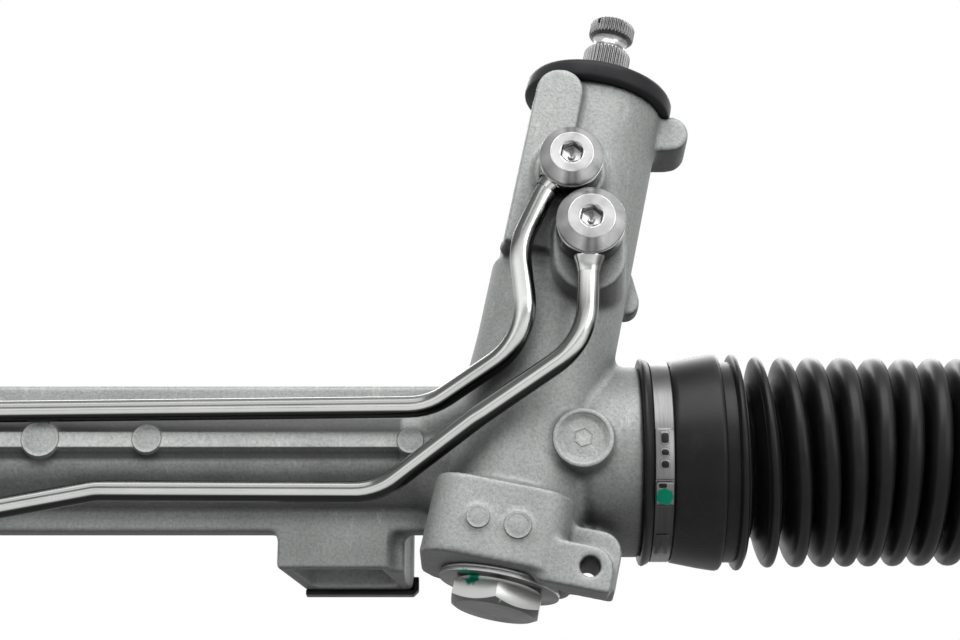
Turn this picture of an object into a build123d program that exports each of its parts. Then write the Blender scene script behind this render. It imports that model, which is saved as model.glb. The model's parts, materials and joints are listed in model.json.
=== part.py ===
# A hydraulic rack and pinion steering gear.
# X runs along the rack to the right, Y away from the viewer and Z up. The origin is the mouth
# of the saddle bolt hole at the back. Helper planes count from the rack centre at the pinion.
from build123d import *
from math import acos, atan, cos, degrees, pi, radians, sin, sqrt, tan
import os

os.makedirs("parts", exist_ok=True)

# Rack centre at the pinion, counted from the origin
RACK_X = 64.0
RACK_Y = -36.0
RACK_Z = 0.0

# Gearing: the pinion axis leans by the helix angle, so the rack teeth stand square
LEAN = 11.5
PINION_TEETH = 8
MODULE = 2.0
PRESSURE = 20.0
PROFILE_SHIFT = 0.5
TIP_CUT = 0.26
BACKLASH = 0.08
TEETH_LONG = 38.0

# Clearances
RUNNING = 0.03
LOOSE = 0.4
SKIN = 0.3

# Rack bar and travel
RACK_R = 13.0
TOOTH_TOP = 8.5
RACK_TRAVEL = 72.0
LOCK_GAP = 3.0
TOOTHED_HALF = 88.0

# Housing tube and cylinder
TUBE_R = 20.0
TUBE_BORE_R = 15.6
CYLINDER_BORE_R = 19.5
CYLINDER_WALL = 4.5
FLANGE_FRONT = -3.0
FLANGE_THICK = 8.0
FLANGE_TOP = 29.8
FLANGE_BOTTOM = -27.8
CYLINDER_RIGHT = -212.0
CYLINDER_LEFT = -438.0

# Right neck
NECK_R = 36.0
NECK_END = 42.3
SEAT_R = 34.0
SEAT_END = 55.0

# Tower, by height along the pinion axis
TOWER_R = 25.5
TOWER_TOP = 143.0
VALVE_BORE_R = 18.6
VALVE_LOW = 44.0
VALVE_HIGH = 114.0
NEEDLE_BORE_R = 16.0
NEEDLE_LOW = 20.0
UPPER_BEARING_R = 19.5
CAVITY_R = 12.5
LOWER_BEARING_R = 17.5
LOWER_BEARING_TOP = -25.0
LOWER_BEARING_THICK = 11.0
CAP_BORE_R = 20.0
CAP_THREAD_LONG = 7.0
BLOCK_BOTTOM = -50.5
BLOCK_TOP = -21.0
CAP_FLANGE_R = 22.3
DUST_CAP_R = 29.0
DUST_CAP_HIGH = 8.0

# Shafts
JOURNAL_LOW_R = 7.5
JOURNAL_TOP_R = 12.0
INPUT_R = 11.0
SPLINE_LOW_R = 9.3
SPLINE_TOP_R = 8.9
GROOVE_R = 6.1
SHAFT_ABOVE = 38.0
BAR_R = 3.5

# Pipes
PIPE_R = 4.0
EYE_RADII = (11.6, 12.4)
EYE_THICK = 9.5
WASHER_THICK = 1.0
BANJO_HEAD_RADII = (11.8, 12.7)
BANJO_HEAD_THICK = 6.0
BANJO_SHANK_R = 6.0

# Yoke
YOKE_R = 15.0
YOKE_FACE = 4.0
YOKE_BACK = 31.0
YOKE_BOSS_R = 20.5
YOKE_BOSS_END = 47.0
LINER_THICK = 0.8

# Tie rods and bellows
BALL_R = 12.0
SOCKET_R = 16.0
BALL_OFFSET = 25.0
ROD_R = 7.5
ROD_THREAD_R = 8.0
ROD_LONG = 187.0
ROD_THREAD_LONG = 62.0
BELLOWS_PEAK_R = 40.0
BELLOWS_VALLEY_R = 25.0
BELLOWS_TURNS = 15
BAND_WIDE = 7.0
BAND_THICK = 0.7

# Values that follow
SIN_LEAN = sin(radians(LEAN))
COS_LEAN = cos(radians(LEAN))
TAN_LEAN = tan(radians(LEAN))
PITCH_R = PINION_TEETH * MODULE / COS_LEAN / 2
PINION_OUT_R = PITCH_R + MODULE * (1 + PROFILE_SHIFT - TIP_CUT / MODULE)
PINION_ROOT_R = PITCH_R - MODULE * (1.25 - PROFILE_SHIFT)
RACK_PITCH = pi * MODULE
TOOTH_ADDENDUM = MODULE
TOOTH_DEDENDUM = MODULE * 1.25
PINION_BACK = TOOTH_TOP + PITCH_R + MODULE * PROFILE_SHIFT - TOOTH_ADDENDUM
RACK_SHOULDER = SEAT_END + RACK_TRAVEL + LOCK_GAP
LEFT_SHOULDER = CYLINDER_LEFT - RACK_TRAVEL - LOCK_GAP
CYLINDER_R = CYLINDER_BORE_R + CYLINDER_WALL
RIGHT_BALL = RACK_SHOULDER + BALL_OFFSET
INPUT_TOP = TOWER_TOP + SHAFT_ABOVE


def at(x, y, z):
    return Vector(RACK_X + x, RACK_Y + y, RACK_Z + z)


# Section across the rack: sketch x is depth, sketch y is height
def across(x):
    return Plane(origin=at(x, 0, 0), x_dir=(0, 1, 0), z_dir=(1, 0, 0))


# Plane that faces the viewer: sketch x runs along the rack, sketch y is height
def front(y):
    return Plane(origin=at(0, y, 0), x_dir=(1, 0, 0), z_dir=(0, -1, 0))


# Level plane: sketch x runs along the rack, sketch y is depth
def level(z):
    return Plane(origin=at(0, 0, z), x_dir=(1, 0, 0), z_dir=(0, 0, 1))


# Plane square to the pinion axis at a height: sketch x is sideways, sketch y is depth
def tower(h):
    centre = at(h * SIN_LEAN, -PINION_BACK, h * COS_LEAN)
    return Plane(origin=centre, x_dir=(COS_LEAN, 0, -SIN_LEAN), z_dir=(SIN_LEAN, 0, COS_LEAN))


# Plane that faces the viewer and leans with the tower: sketch y runs along the pinion axis
def tower_front(y):
    return Plane(origin=at(0, y, 0), x_dir=(COS_LEAN, 0, -SIN_LEAN), z_dir=(0, -1, 0))


RACK_AXIS = Axis(at(0, 0, 0), (1, 0, 0))
PINION_AXIS = Axis(at(0, -PINION_BACK, 0), (SIN_LEAN, 0, COS_LEAN))


def save(shape, name):
    shape.label = name
    export_step(shape, "parts/" + name + ".step")


# Ring about a plane's normal, from its inner and outer radius
def ring(plane, inner, outer, thick):
    with BuildPart() as body:
        with BuildSketch(plane):
            Circle(outer)
            Circle(inner, mode=Mode.SUBTRACT)
        extrude(amount=thick)
    return body.part


# Ball bearing of one sealed piece, with a shallow groove where its shields sit
def bearing(plane, inner, outer, thick):
    wall = (outer - inner) * 0.28
    with BuildPart() as body:
        with BuildSketch(plane):
            Circle(outer)
            Circle(inner, mode=Mode.SUBTRACT)
        extrude(amount=thick)
        fillet(body.edges().filter_by(GeomType.CIRCLE), 0.4)
        for face in (plane, plane.offset(thick)):
            with BuildSketch(face):
                Circle(outer - wall)
                Circle(inner + wall, mode=Mode.SUBTRACT)
            extrude(amount=0.5, both=True, mode=Mode.SUBTRACT)
    return body.part


# Rack housing: outer casting
BANJO_PLACES = ((16.2, 98.7), (22.8, 71.9))
BANJO_SEATS = (-49.5, -53.0)
GALLERY_PLACE = (-14.0, 134.2)
GALLERY_HALF = 8.9
GALLERY_FRONT = -46.0
GALLERY_LONG = 65.0
BANJO_BOSS_R = 13.4
BOSS_DROP = 8.8
LOWER_TOWER_TOP = 70.0
EAR_PLACE = (56.8, 128.1)
EAR_R = 7.4
EAR_FRONT = -20.0
EAR_BACK = 2.0
EAR_HOLE_R = 4.0
EAR_HOLE_DEEP = 16.0
LUG_HOLE = (31.1, -45.2)
LUG_HOLE_R = 3.8
LUG_RIGHT = 39.5
LUG_BOTTOM = -53.7
LUG_FRONT = -43.0
LUG_THICK = 12.0
LUG_WEB_THICK = 16.0
ROUND_BOSS = (19.8, -2.9)
ROUND_BOSS_R = 11.0
ROUND_BOSS_FRONT = -42.0
ROUND_RECESS_R = 9.2
SADDLE_LEFT = -93.5
SADDLE_RIGHT = -51.7
SADDLE_SKEW = 8.5
SADDLE_BOTTOM = -41.8
SADDLE_SHELF = -14.0
SADDLE_TOP = 16.0
SADDLE_HOLE_X = -RACK_X
SADDLE_MIDDLE = (SADDLE_LEFT + SADDLE_RIGHT) / 2 + SADDLE_SKEW
SADDLE_BACK = -RACK_Y
SADDLE_WALL = 4.0
SADDLE_HOLE_R = 6.0
SADDLE_HOLE_DEEP = 17.0
MOUNT_EYE = (-352.0, -43.0)
MOUNT_EYE_R = 18.0
MOUNT_EYE_HALF = 18.0
BUSH_R = 14.0
BUSH_SLEEVE_R = 9.0
BUSH_BORE_R = 6.1
NEAR_PORT = (-222.0, -24.0, -26.5)
FAR_PORT = (-384.0, -28.0, 16.0)
PORT_R = 7.0
PORT_NUT_LONG = 14.0
HOSE_PORTS = ((97.0, 8.0), (68.0, 7.0))
HOSE_PORT_FACE = 17.0

with BuildPart() as casting:
    # tube, cylinder and parting flanges
    with BuildSketch(across(CYLINDER_RIGHT)):
        Circle(TUBE_R)
    extrude(amount=-CYLINDER_RIGHT)
    with BuildSketch(front(0)):
        with BuildLine():
            Polyline((CYLINDER_LEFT, 0), (CYLINDER_LEFT, CYLINDER_R), (CYLINDER_RIGHT + 5, CYLINDER_R),
                     (CYLINDER_RIGHT + 14, TUBE_R), (CYLINDER_RIGHT + 14, 0), close=True)
        make_face()
    revolve(axis=RACK_AXIS)
    with BuildSketch(across(CYLINDER_LEFT + 24)):
        with Locations((FLANGE_FRONT + FLANGE_THICK / 2, (FLANGE_TOP + FLANGE_BOTTOM) / 2)):
            RectangleRounded(FLANGE_THICK, FLANGE_TOP - FLANGE_BOTTOM, 1.2)
    extrude(amount=-CYLINDER_LEFT - 44)
    # front rib with round ejector pads
    with BuildSketch(across(CYLINDER_RIGHT)):
        with Locations((-TUBE_R / 2 - 6, 2.1)):
            RectangleRounded(TUBE_R / 2 + 2, 6.2, 1.4)
    extrude(amount=-CYLINDER_RIGHT - 32)
    with BuildSketch(front(-22.8)):
        with Locations((-180.5, 2.4)):
            Circle(7)
        with Locations((-141, 2.4)):
            Circle(5.5)
        with Locations((-43.3, 1.6)):
            Circle(5)
    extrude(amount=-6, taper=-4)
    # gear case around the rack, with the neck and the bellows seat
    with BuildSketch(front(0)):
        with BuildLine():
            Polyline((-42, 0), (-42, TUBE_R - 1), (-23, 29), (8, 30), (24, NECK_R),
                     (NECK_END, NECK_R), (NECK_END, SEAT_R), (SEAT_END, SEAT_R), (SEAT_END, 0), close=True)
        make_face()
    revolve(axis=RACK_AXIS)
    # tower, its cap rim and the oil gallery down its left front
    with BuildSketch(tower(BLOCK_TOP)):
        with Locations((0.3, 0)):
            Circle(TOWER_R)
    extrude(amount=TOWER_TOP - BLOCK_TOP)
    with BuildSketch(tower(BLOCK_TOP)):
        with Locations((-1.5, 0)):
            Circle(TOWER_R)
    extrude(amount=LOWER_TOWER_TOP - BLOCK_TOP)
    with BuildSketch(tower_front(GALLERY_FRONT)):
        with Locations(GALLERY_PLACE):
            Circle(GALLERY_HALF)
        with Locations((GALLERY_PLACE[0], GALLERY_PLACE[1] - GALLERY_LONG / 2)):
            Rectangle(2 * GALLERY_HALF, GALLERY_LONG)
    extrude(amount=GALLERY_FRONT + 26, taper=-2)
    # left shoulder web between the tower and the tube
    with BuildSketch(front(-14)):
        with BuildLine():
            Polyline((-40, 12), (-28, 29), (-22, 32), (-18, 48), (10, 60), (6, 0), (-40, 0), close=True)
        make_face()
    extrude(amount=-20)
    # banjo bosses
    with BuildSketch(front(BANJO_SEATS[0])):
        with Locations(BANJO_PLACES[0]):
            Circle(BANJO_BOSS_R)
    extrude(amount=-26, taper=-3)
    with BuildSketch(front(BANJO_SEATS[1])):
        with Locations((BANJO_PLACES[1][0], BANJO_PLACES[1][1] - BOSS_DROP / 2)):
            SlotCenterToCenter(BOSS_DROP, 2 * BANJO_BOSS_R, rotation=90)
    extrude(amount=-32, taper=-3)
    # ear at the upper right
    with BuildSketch(front(EAR_FRONT)):
        with Locations(EAR_PLACE):
            Circle(EAR_R)
        with Locations((EAR_PLACE[0] - 10, EAR_PLACE[1])):
            Rectangle(20, 2 * EAR_R)
    extrude(amount=EAR_FRONT - EAR_BACK)
    with BuildSketch(front(-10)):
        with Locations((38, 61.5)):
            Circle(6)
        with Locations((33, 69)):
            Circle(9)
        make_hull()
    extrude(amount=-9)
    # bearing block at the foot, with its lug
    with BuildSketch(tower(BLOCK_BOTTOM)):
        with Locations((-4, -5)):
            RectangleRounded(52, 50, 13)
    extrude(amount=BLOCK_TOP - BLOCK_BOTTOM, taper=1)
    with BuildSketch(tower(BLOCK_BOTTOM)):
        Circle(26.2)
    extrude(amount=BLOCK_TOP - BLOCK_BOTTOM, taper=1)
    with BuildSketch(tower_front(LUG_FRONT)) as lug_face:
        with BuildLine():
            Polyline((10, BLOCK_BOTTOM), (14, LUG_BOTTOM), (LUG_RIGHT, LUG_BOTTOM), (LUG_RIGHT, -37.5),
                     (10, -37.5), close=True)
        make_face()
        fillet(lug_face.vertices().group_by(Axis.Y)[-1].sort_by(Axis.X)[-1], 8.5)
    extrude(amount=-LUG_THICK)
    with BuildSketch(tower_front(LUG_FRONT + LUG_THICK)) as web_face:
        with BuildLine():
            Polyline((12, BLOCK_BOTTOM), (LUG_RIGHT + 2, BLOCK_BOTTOM), (LUG_RIGHT + 2, -28.5), (12, -28.5),
                     close=True)
        make_face()
        fillet(web_face.vertices().group_by(Axis.Y)[-1].sort_by(Axis.X)[-1], 8)
    extrude(amount=-LUG_WEB_THICK)
    with BuildSketch(front(-46.3)):
        with Locations((-18.2, -33.3)):
            Circle(4.3)
        with Locations((-4.1, -36.5)):
            Circle(5)
    extrude(amount=-8)
    # round boss in front of the neck
    with BuildSketch(front(ROUND_BOSS_FRONT)):
        with Locations(ROUND_BOSS):
            Circle(ROUND_BOSS_R)
    extrude(amount=-18, taper=-3)
    # saddle bracket, open below, leaning to the right as it goes back
    with BuildSketch(level(SADDLE_BOTTOM)):
        with BuildLine():
            Polyline((SADDLE_LEFT, FLANGE_FRONT), (SADDLE_RIGHT, FLANGE_FRONT),
                     (SADDLE_RIGHT + SADDLE_SKEW, SADDLE_BACK),
                     (SADDLE_LEFT + SADDLE_SKEW, SADDLE_BACK), close=True)
        make_face()
    extrude(amount=SADDLE_SHELF - SADDLE_BOTTOM)
    with BuildSketch(level(SADDLE_BOTTOM)):
        with Locations((SADDLE_RIGHT + 1.5, FLANGE_FRONT + 15)):
            Rectangle(9, 18)
    extrude(amount=FLANGE_BOTTOM - SADDLE_BOTTOM)
    with BuildSketch(front(SADDLE_BACK)):
        with Locations((SADDLE_MIDDLE, (SADDLE_TOP + SADDLE_BOTTOM) / 2)):
            RectangleRounded(SADDLE_RIGHT - SADDLE_LEFT, SADDLE_TOP - SADDLE_BOTTOM, 3)
    extrude(amount=5)
    with BuildSketch(front(SADDLE_BACK)):
        with Locations((SADDLE_HOLE_X, 0)):
            Circle(SADDLE_HOLE_R + 6.5)
    extrude(amount=SADDLE_BACK - 12)
    for x in (SADDLE_MIDDLE - 16, SADDLE_MIDDLE + 16):
        with BuildSketch(across(x)):
            with BuildLine():
                Polyline((10, SADDLE_SHELF - 1), (SADDLE_BACK - 2, SADDLE_SHELF - 1),
                         (SADDLE_BACK - 2, 10), (SADDLE_BACK - 6, 10), (14, 14), close=True)
            make_face()
        extrude(amount=2, both=True)
    # yoke boss and hose port bosses at the back
    with BuildSketch(front(0)):
        Circle(YOKE_BOSS_R)
    extrude(amount=-YOKE_BOSS_END)
    for height, port_r in HOSE_PORTS:
        with BuildSketch(tower_front(HOSE_PORT_FACE)):
            with Locations((0, height)):
                Circle(port_r + 5)
        extrude(amount=HOSE_PORT_FACE + PINION_BACK - 4, taper=-2)
    # mount eye under the cylinder
    with BuildSketch(front(-MOUNT_EYE_HALF)):
        with Locations(MOUNT_EYE):
            Circle(MOUNT_EYE_R)
    extrude(amount=-2 * MOUNT_EYE_HALF)
    with BuildSketch(front(-MOUNT_EYE_HALF + 5)):
        with Locations((MOUNT_EYE[0], MOUNT_EYE[1] / 2)):
            Rectangle(2 * MOUNT_EYE_R, -MOUNT_EYE[1])
    extrude(amount=-2 * MOUNT_EYE_HALF + 10)
    # pipe port blocks on the cylinder
    for x, y, z in (NEAR_PORT, FAR_PORT):
        with BuildSketch(across(x - 24)):
            with Locations((y, z)):
                Circle(PORT_R + 3.5)
            Circle(8)
            make_hull()
        extrude(amount=24)

# Rack housing: bores and threaded holes
SEAL_SEAT_R = 17.5
SEAL_SEAT_LONG = 11.0
BUSH_SEAT_R = 16.5
BUSH_SEAT_LONG = 15.0
CIRCLIP_THICK = 1.2
CIRCLIP_DEEP = 1.2
SNAP_LOW = 136.0
GALLERY_R = 3.0
NEAR_HOLE_X = CYLINDER_RIGHT - 17
FAR_HOLE_X = FAR_PORT[0] - 13

with BuildPart() as rack_housing:
    add(casting.part)
    with BuildSketch(front(0)):
        with BuildLine():
            Polyline((CYLINDER_LEFT - 1, 0), (CYLINDER_LEFT - 1, CYLINDER_BORE_R),
                     (CYLINDER_RIGHT, CYLINDER_BORE_R), (CYLINDER_RIGHT, SEAL_SEAT_R),
                     (CYLINDER_RIGHT + SEAL_SEAT_LONG, SEAL_SEAT_R),
                     (CYLINDER_RIGHT + SEAL_SEAT_LONG, TUBE_BORE_R),
                     (SEAT_END - BUSH_SEAT_LONG, TUBE_BORE_R),
                     (SEAT_END - BUSH_SEAT_LONG, BUSH_SEAT_R), (SEAT_END + 1, BUSH_SEAT_R),
                     (SEAT_END + 1, 0), close=True)
        make_face()
    revolve(axis=RACK_AXIS, mode=Mode.SUBTRACT)
    # bores of the tower and the bearing block
    with BuildSketch(tower_front(-PINION_BACK)):
        with BuildLine():
            Polyline((0, BLOCK_BOTTOM - 1), (CAP_BORE_R, BLOCK_BOTTOM - 1),
                     (CAP_BORE_R, BLOCK_BOTTOM + CAP_THREAD_LONG + 1),
                     (LOWER_BEARING_R, BLOCK_BOTTOM + CAP_THREAD_LONG + 1),
                     (LOWER_BEARING_R, LOWER_BEARING_TOP), (CAVITY_R, LOWER_BEARING_TOP),
                     (CAVITY_R, NEEDLE_LOW), (NEEDLE_BORE_R, NEEDLE_LOW),
                     (NEEDLE_BORE_R, VALVE_LOW), (VALVE_BORE_R, VALVE_LOW),
                     (VALVE_BORE_R, VALVE_HIGH), (UPPER_BEARING_R, VALVE_HIGH),
                     (UPPER_BEARING_R, TOWER_TOP + 1), (0, TOWER_TOP + 1), close=True)
        make_face()
    revolve(axis=PINION_AXIS, mode=Mode.SUBTRACT)
    with BuildSketch(tower(TOWER_TOP)):
        Circle(DUST_CAP_R + SKIN)
    extrude(amount=12, mode=Mode.SUBTRACT)
    for height, radius in ((LOWER_BEARING_TOP - LOWER_BEARING_THICK - CIRCLIP_THICK, LOWER_BEARING_R),
                           (SNAP_LOW, UPPER_BEARING_R)):
        with BuildSketch(tower(height)):
            Circle(radius + CIRCLIP_DEEP)
        extrude(amount=CIRCLIP_THICK, mode=Mode.SUBTRACT)
    # yoke bore
    with BuildSketch(front(YOKE_BOSS_END + 1)):
        Circle(YOKE_R)
    extrude(amount=YOKE_BOSS_END + 1, mode=Mode.SUBTRACT)
    # banjo holes and hose ports into the valve bore
    for place, seat in zip(BANJO_PLACES, BANJO_SEATS):
        with BuildSketch(front(seat - 1)):
            with Locations(place):
                Circle(BANJO_SHANK_R)
        extrude(amount=-13, mode=Mode.SUBTRACT)
        with BuildSketch(front(seat - 1)):
            with Locations(place):
                Circle(GALLERY_R)
        extrude(amount=-PINION_BACK - seat - 8, mode=Mode.SUBTRACT)
    for height, port_r in HOSE_PORTS:
        with BuildSketch(tower_front(HOSE_PORT_FACE)):
            with Locations((0, height)):
                Circle(port_r)
        extrude(amount=12, mode=Mode.SUBTRACT)
        with BuildSketch(tower_front(HOSE_PORT_FACE)):
            with Locations((0, height)):
                Circle(GALLERY_R)
        extrude(amount=HOSE_PORT_FACE + PINION_BACK - 10, mode=Mode.SUBTRACT)
    # cylinder ports: a socket along the rack and a hole down into the cylinder
    for place, hole_x in ((NEAR_PORT, NEAR_HOLE_X), (FAR_PORT, FAR_HOLE_X)):
        x, y, z = place
        with BuildSketch(across(x + 1)):
            with Locations((y, z)):
                Circle(PORT_R - 1)
        extrude(amount=-11, mode=Mode.SUBTRACT)
        with BuildSketch(across(x)):
            with Locations((y, z)):
                Circle(GALLERY_R)
        extrude(amount=hole_x - GALLERY_R - 1 - x, mode=Mode.SUBTRACT)
        inward = Plane(origin=at(hole_x, y, z), x_dir=(1, 0, 0), z_dir=(0, -y, -z))
        with BuildSketch(inward):
            Circle(GALLERY_R - 0.4)
        extrude(amount=sqrt(y**2 + z**2) - CYLINDER_BORE_R + 3, mode=Mode.SUBTRACT)
    # mounting holes
    with BuildSketch(front(EAR_BACK)):
        with Locations(EAR_PLACE):
            Circle(EAR_HOLE_R)
    extrude(amount=EAR_HOLE_DEEP, mode=Mode.SUBTRACT)
    with BuildSketch(tower_front(LUG_FRONT - 1)):
        with Locations(LUG_HOLE):
            Circle(LUG_HOLE_R)
    extrude(amount=-LUG_THICK - LUG_WEB_THICK - 2, mode=Mode.SUBTRACT)
    with BuildSketch(tower(BLOCK_BOTTOM)):
        Circle(CAP_FLANGE_R + 1.5)
    extrude(amount=LUG_BOTTOM - BLOCK_BOTTOM - 1, mode=Mode.SUBTRACT)
    with BuildSketch(front(SADDLE_BACK)):
        with Locations((SADDLE_HOLE_X, 0)):
            Circle(SADDLE_HOLE_R)
    extrude(amount=SADDLE_HOLE_DEEP, mode=Mode.SUBTRACT)
    with BuildSketch(front(-MOUNT_EYE_HALF - 1)):
        with Locations(MOUNT_EYE):
            Circle(BUSH_R)
    extrude(amount=-2 * MOUNT_EYE_HALF - 2, mode=Mode.SUBTRACT)
    # saddle pocket from below, and the recess of the round boss
    with BuildSketch(level(SADDLE_BOTTOM - 1)):
        with BuildLine():
            Polyline((SADDLE_LEFT + SADDLE_WALL + 1, FLANGE_FRONT + SADDLE_WALL),
                     (SADDLE_RIGHT - SADDLE_WALL + 1, FLANGE_FRONT + SADDLE_WALL),
                     (SADDLE_RIGHT - SADDLE_WALL + SADDLE_SKEW - 1, SADDLE_BACK - 5),
                     (SADDLE_LEFT + SADDLE_WALL + SADDLE_SKEW - 1, SADDLE_BACK - 5), close=True)
        make_face()
    extrude(amount=-TUBE_R - 4 - SADDLE_BOTTOM + 1, mode=Mode.SUBTRACT)
    with BuildSketch(front(ROUND_BOSS_FRONT)):
        with Locations(ROUND_BOSS):
            Circle(ROUND_RECESS_R)
    extrude(amount=-1.3, mode=Mode.SUBTRACT)
save(rack_housing.part, "rack_housing")

# Pinion shaft: involute teeth twisted about the leaning axis
TWIST_STEPS = 4
BASE_R = PITCH_R * cos(atan(tan(radians(PRESSURE)) / COS_LEAN))
SPIGOT_TOP = 60.0
SPIGOT_SLOT = 9.0
SLOT_DEEP = 8.0
NUT_LOW = -44.0
NUT_HIGH = -37.0


def involute(radius):
    angle = acos(BASE_R / radius)
    return tan(angle) - angle


def half_tooth(radius):
    thick = MODULE / COS_LEAN * pi / 2 + 2 * PROFILE_SHIFT * MODULE * tan(acos(BASE_R / PITCH_R))
    return thick / (2 * PITCH_R) + involute(PITCH_R) - involute(radius)


def flank_point(step, side):
    radius = BASE_R + (PINION_OUT_R - BASE_R) * step / 5
    angle = side * half_tooth(radius)
    return (radius * cos(angle), radius * sin(angle))


with BuildSketch() as pinion_tooth:
    with BuildLine():
        Spline([flank_point(step, -1) for step in range(6)])
        Line(flank_point(5, -1), flank_point(5, 1))
        Spline([flank_point(step, 1) for step in range(6)])
        foot = PINION_ROOT_R * cos(half_tooth(BASE_R)) - 0.3
        rise = PINION_ROOT_R * sin(half_tooth(BASE_R))
        Polyline(flank_point(0, -1), (foot, -rise), (foot, rise), flank_point(0, 1))
    make_face()

with BuildPart() as pinion_shaft:
    for step in range(TWIST_STEPS + 1):
        height = TEETH_LONG * (step / TWIST_STEPS - 0.5)
        with BuildSketch(tower(height)):
            Circle(PINION_ROOT_R)
            turn = degrees(height * TAN_LEAN / PITCH_R)
            with PolarLocations(0, PINION_TEETH, start_angle=90 + 180 / PINION_TEETH + turn):
                add(pinion_tooth.sketch)
    loft()
    with BuildSketch(tower_front(-PINION_BACK)):
        with BuildLine():
            low = -TEETH_LONG / 2
            Polyline((0, NUT_LOW - 2), (5, NUT_LOW - 2), (6, NUT_LOW - 1), (6, NUT_HIGH + 0.5),
                     (JOURNAL_LOW_R, NUT_HIGH + 0.5), (JOURNAL_LOW_R, LOWER_BEARING_TOP),
                     (JOURNAL_LOW_R + 1.5, LOWER_BEARING_TOP), (JOURNAL_LOW_R + 1.5, low), (0, low),
                     close=True)
        make_face()
        with BuildLine():
            Polyline((0, -low), (JOURNAL_TOP_R - 1, -low), (JOURNAL_TOP_R, -low + 1),
                     (JOURNAL_TOP_R, VALVE_LOW - 0.5), (INPUT_R + RUNNING, VALVE_LOW + 1),
                     (INPUT_R + RUNNING, SPIGOT_TOP), (0, SPIGOT_TOP), close=True)
        make_face()
    revolve(axis=PINION_AXIS)
    with BuildSketch(tower(28)):
        Circle(BAR_R + RUNNING)
    extrude(amount=SPIGOT_TOP - 27, mode=Mode.SUBTRACT)
    with BuildSketch(tower(SPIGOT_TOP - SLOT_DEEP)):
        Rectangle(3 * INPUT_R, SPIGOT_SLOT)
    extrude(amount=SLOT_DEEP + 1, mode=Mode.SUBTRACT)
    chamfer(pinion_shaft.edges().filter_by(GeomType.CIRCLE).sort_by(PINION_AXIS)[0], 0.5)
save(pinion_shaft.part, "pinion_shaft")

# Input shaft: valve spool, bearing length, splined lengths with the clamp-bolt groove
TONGUE_THICK = 7.0
SPOOL_LOW = SPIGOT_TOP + 0.5
CLAMP_GROOVE = 5.5
GROOVE_HIGH = INPUT_TOP - 6.5
GROOVE_LOW = GROOVE_HIGH - CLAMP_GROOVE
SPLINE_LOW = TOWER_TOP + DUST_CAP_HIGH + 1
NECK_LOW = TOWER_TOP - 1
SPOOL_SLOTS = 6
CROSS_PIN_R = 1.5
CROSS_PIN_H = 139.0
BAR_TOP = CROSS_PIN_H + 13
BAR_THIN_TOP = CROSS_PIN_H - 13

with BuildPart() as input_shaft:
    with BuildSketch(tower_front(-PINION_BACK)):
        with BuildLine():
            Polyline((0, SPOOL_LOW), (INPUT_R, SPOOL_LOW), (INPUT_R, NECK_LOW),
                     (SPLINE_LOW_R + 0.6, NECK_LOW + 1), (SPLINE_LOW_R + 0.6, SPLINE_LOW - 1),
                     (SPLINE_LOW_R, SPLINE_LOW), (SPLINE_LOW_R, GROOVE_LOW - 1),
                     (GROOVE_R + 1.2, GROOVE_LOW), (GROOVE_R, GROOVE_LOW + 1.2),
                     (GROOVE_R, GROOVE_HIGH - 1.2), (GROOVE_R + 1.2, GROOVE_HIGH),
                     (SPLINE_TOP_R, GROOVE_HIGH + 0.8), (SPLINE_TOP_R, INPUT_TOP - 1.2),
                     (SPLINE_TOP_R - 1.2, INPUT_TOP), (0, INPUT_TOP), close=True)
        make_face()
    revolve(axis=PINION_AXIS)
    with BuildSketch(tower(SPIGOT_TOP - SLOT_DEEP + 0.5)):
        Circle(INPUT_R - 0.5)
        Rectangle(3 * INPUT_R, TONGUE_THICK, mode=Mode.INTERSECT)
    extrude(amount=SLOT_DEEP)
    with BuildSketch(tower(SPIGOT_TOP - SLOT_DEEP)):
        Circle(BAR_R)
    extrude(amount=BAR_TOP - SPIGOT_TOP + SLOT_DEEP, mode=Mode.SUBTRACT)
    with BuildSketch(tower(SPOOL_LOW + 14)):
        with PolarLocations(INPUT_R, SPOOL_SLOTS):
            Rectangle(1.6, 4)
    extrude(amount=26, mode=Mode.SUBTRACT)
    with BuildSketch(tower_front(-PINION_BACK)):
        with Locations((0, CROSS_PIN_H)):
            Circle(CROSS_PIN_R)
    extrude(amount=2 * INPUT_R, both=True, mode=Mode.SUBTRACT)
    with BuildSketch(tower(INPUT_TOP)):
        Circle(3)
    extrude(amount=-2, taper=30, mode=Mode.SUBTRACT)
save(input_shaft.part, "input_shaft")

# Torsion bar and its cross pin
with BuildPart() as torsion_bar:
    with BuildSketch(tower_front(-PINION_BACK)):
        with BuildLine():
            Polyline((0, 30), (BAR_R, 30), (BAR_R, 44), (BAR_R - 0.9, 50), (BAR_R - 0.9, BAR_THIN_TOP),
                     (BAR_R, BAR_THIN_TOP + 6), (BAR_R, BAR_TOP - 1), (0, BAR_TOP - 1), close=True)
        make_face()
    revolve(axis=PINION_AXIS)
    with BuildSketch(tower_front(-PINION_BACK)):
        with Locations((0, CROSS_PIN_H)):
            Circle(CROSS_PIN_R)
    extrude(amount=INPUT_R, both=True, mode=Mode.SUBTRACT)
save(torsion_bar.part, "torsion_bar")

with BuildPart() as torsion_pin:
    with BuildSketch(tower_front(-PINION_BACK)):
        with Locations((0, CROSS_PIN_H)):
            Circle(CROSS_PIN_R)
    extrude(amount=INPUT_R - 0.5, both=True)
save(torsion_pin.part, "torsion_pin")

# Valve sleeve with ports and ring grooves, its seal rings and its drive pin
SLEEVE_R = VALVE_BORE_R - 0.5
SLEEVE_LOW = 46.5
SLEEVE_HIGH = 112.0
RING_HEIGHTS = (56.0, 75.0, 92.0, 107.0)
RING_WIDE = 2.0
RING_DEEP = 1.6
DRIVE_PIN_H = 50.0
DRIVE_PIN_R = 1.5

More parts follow.
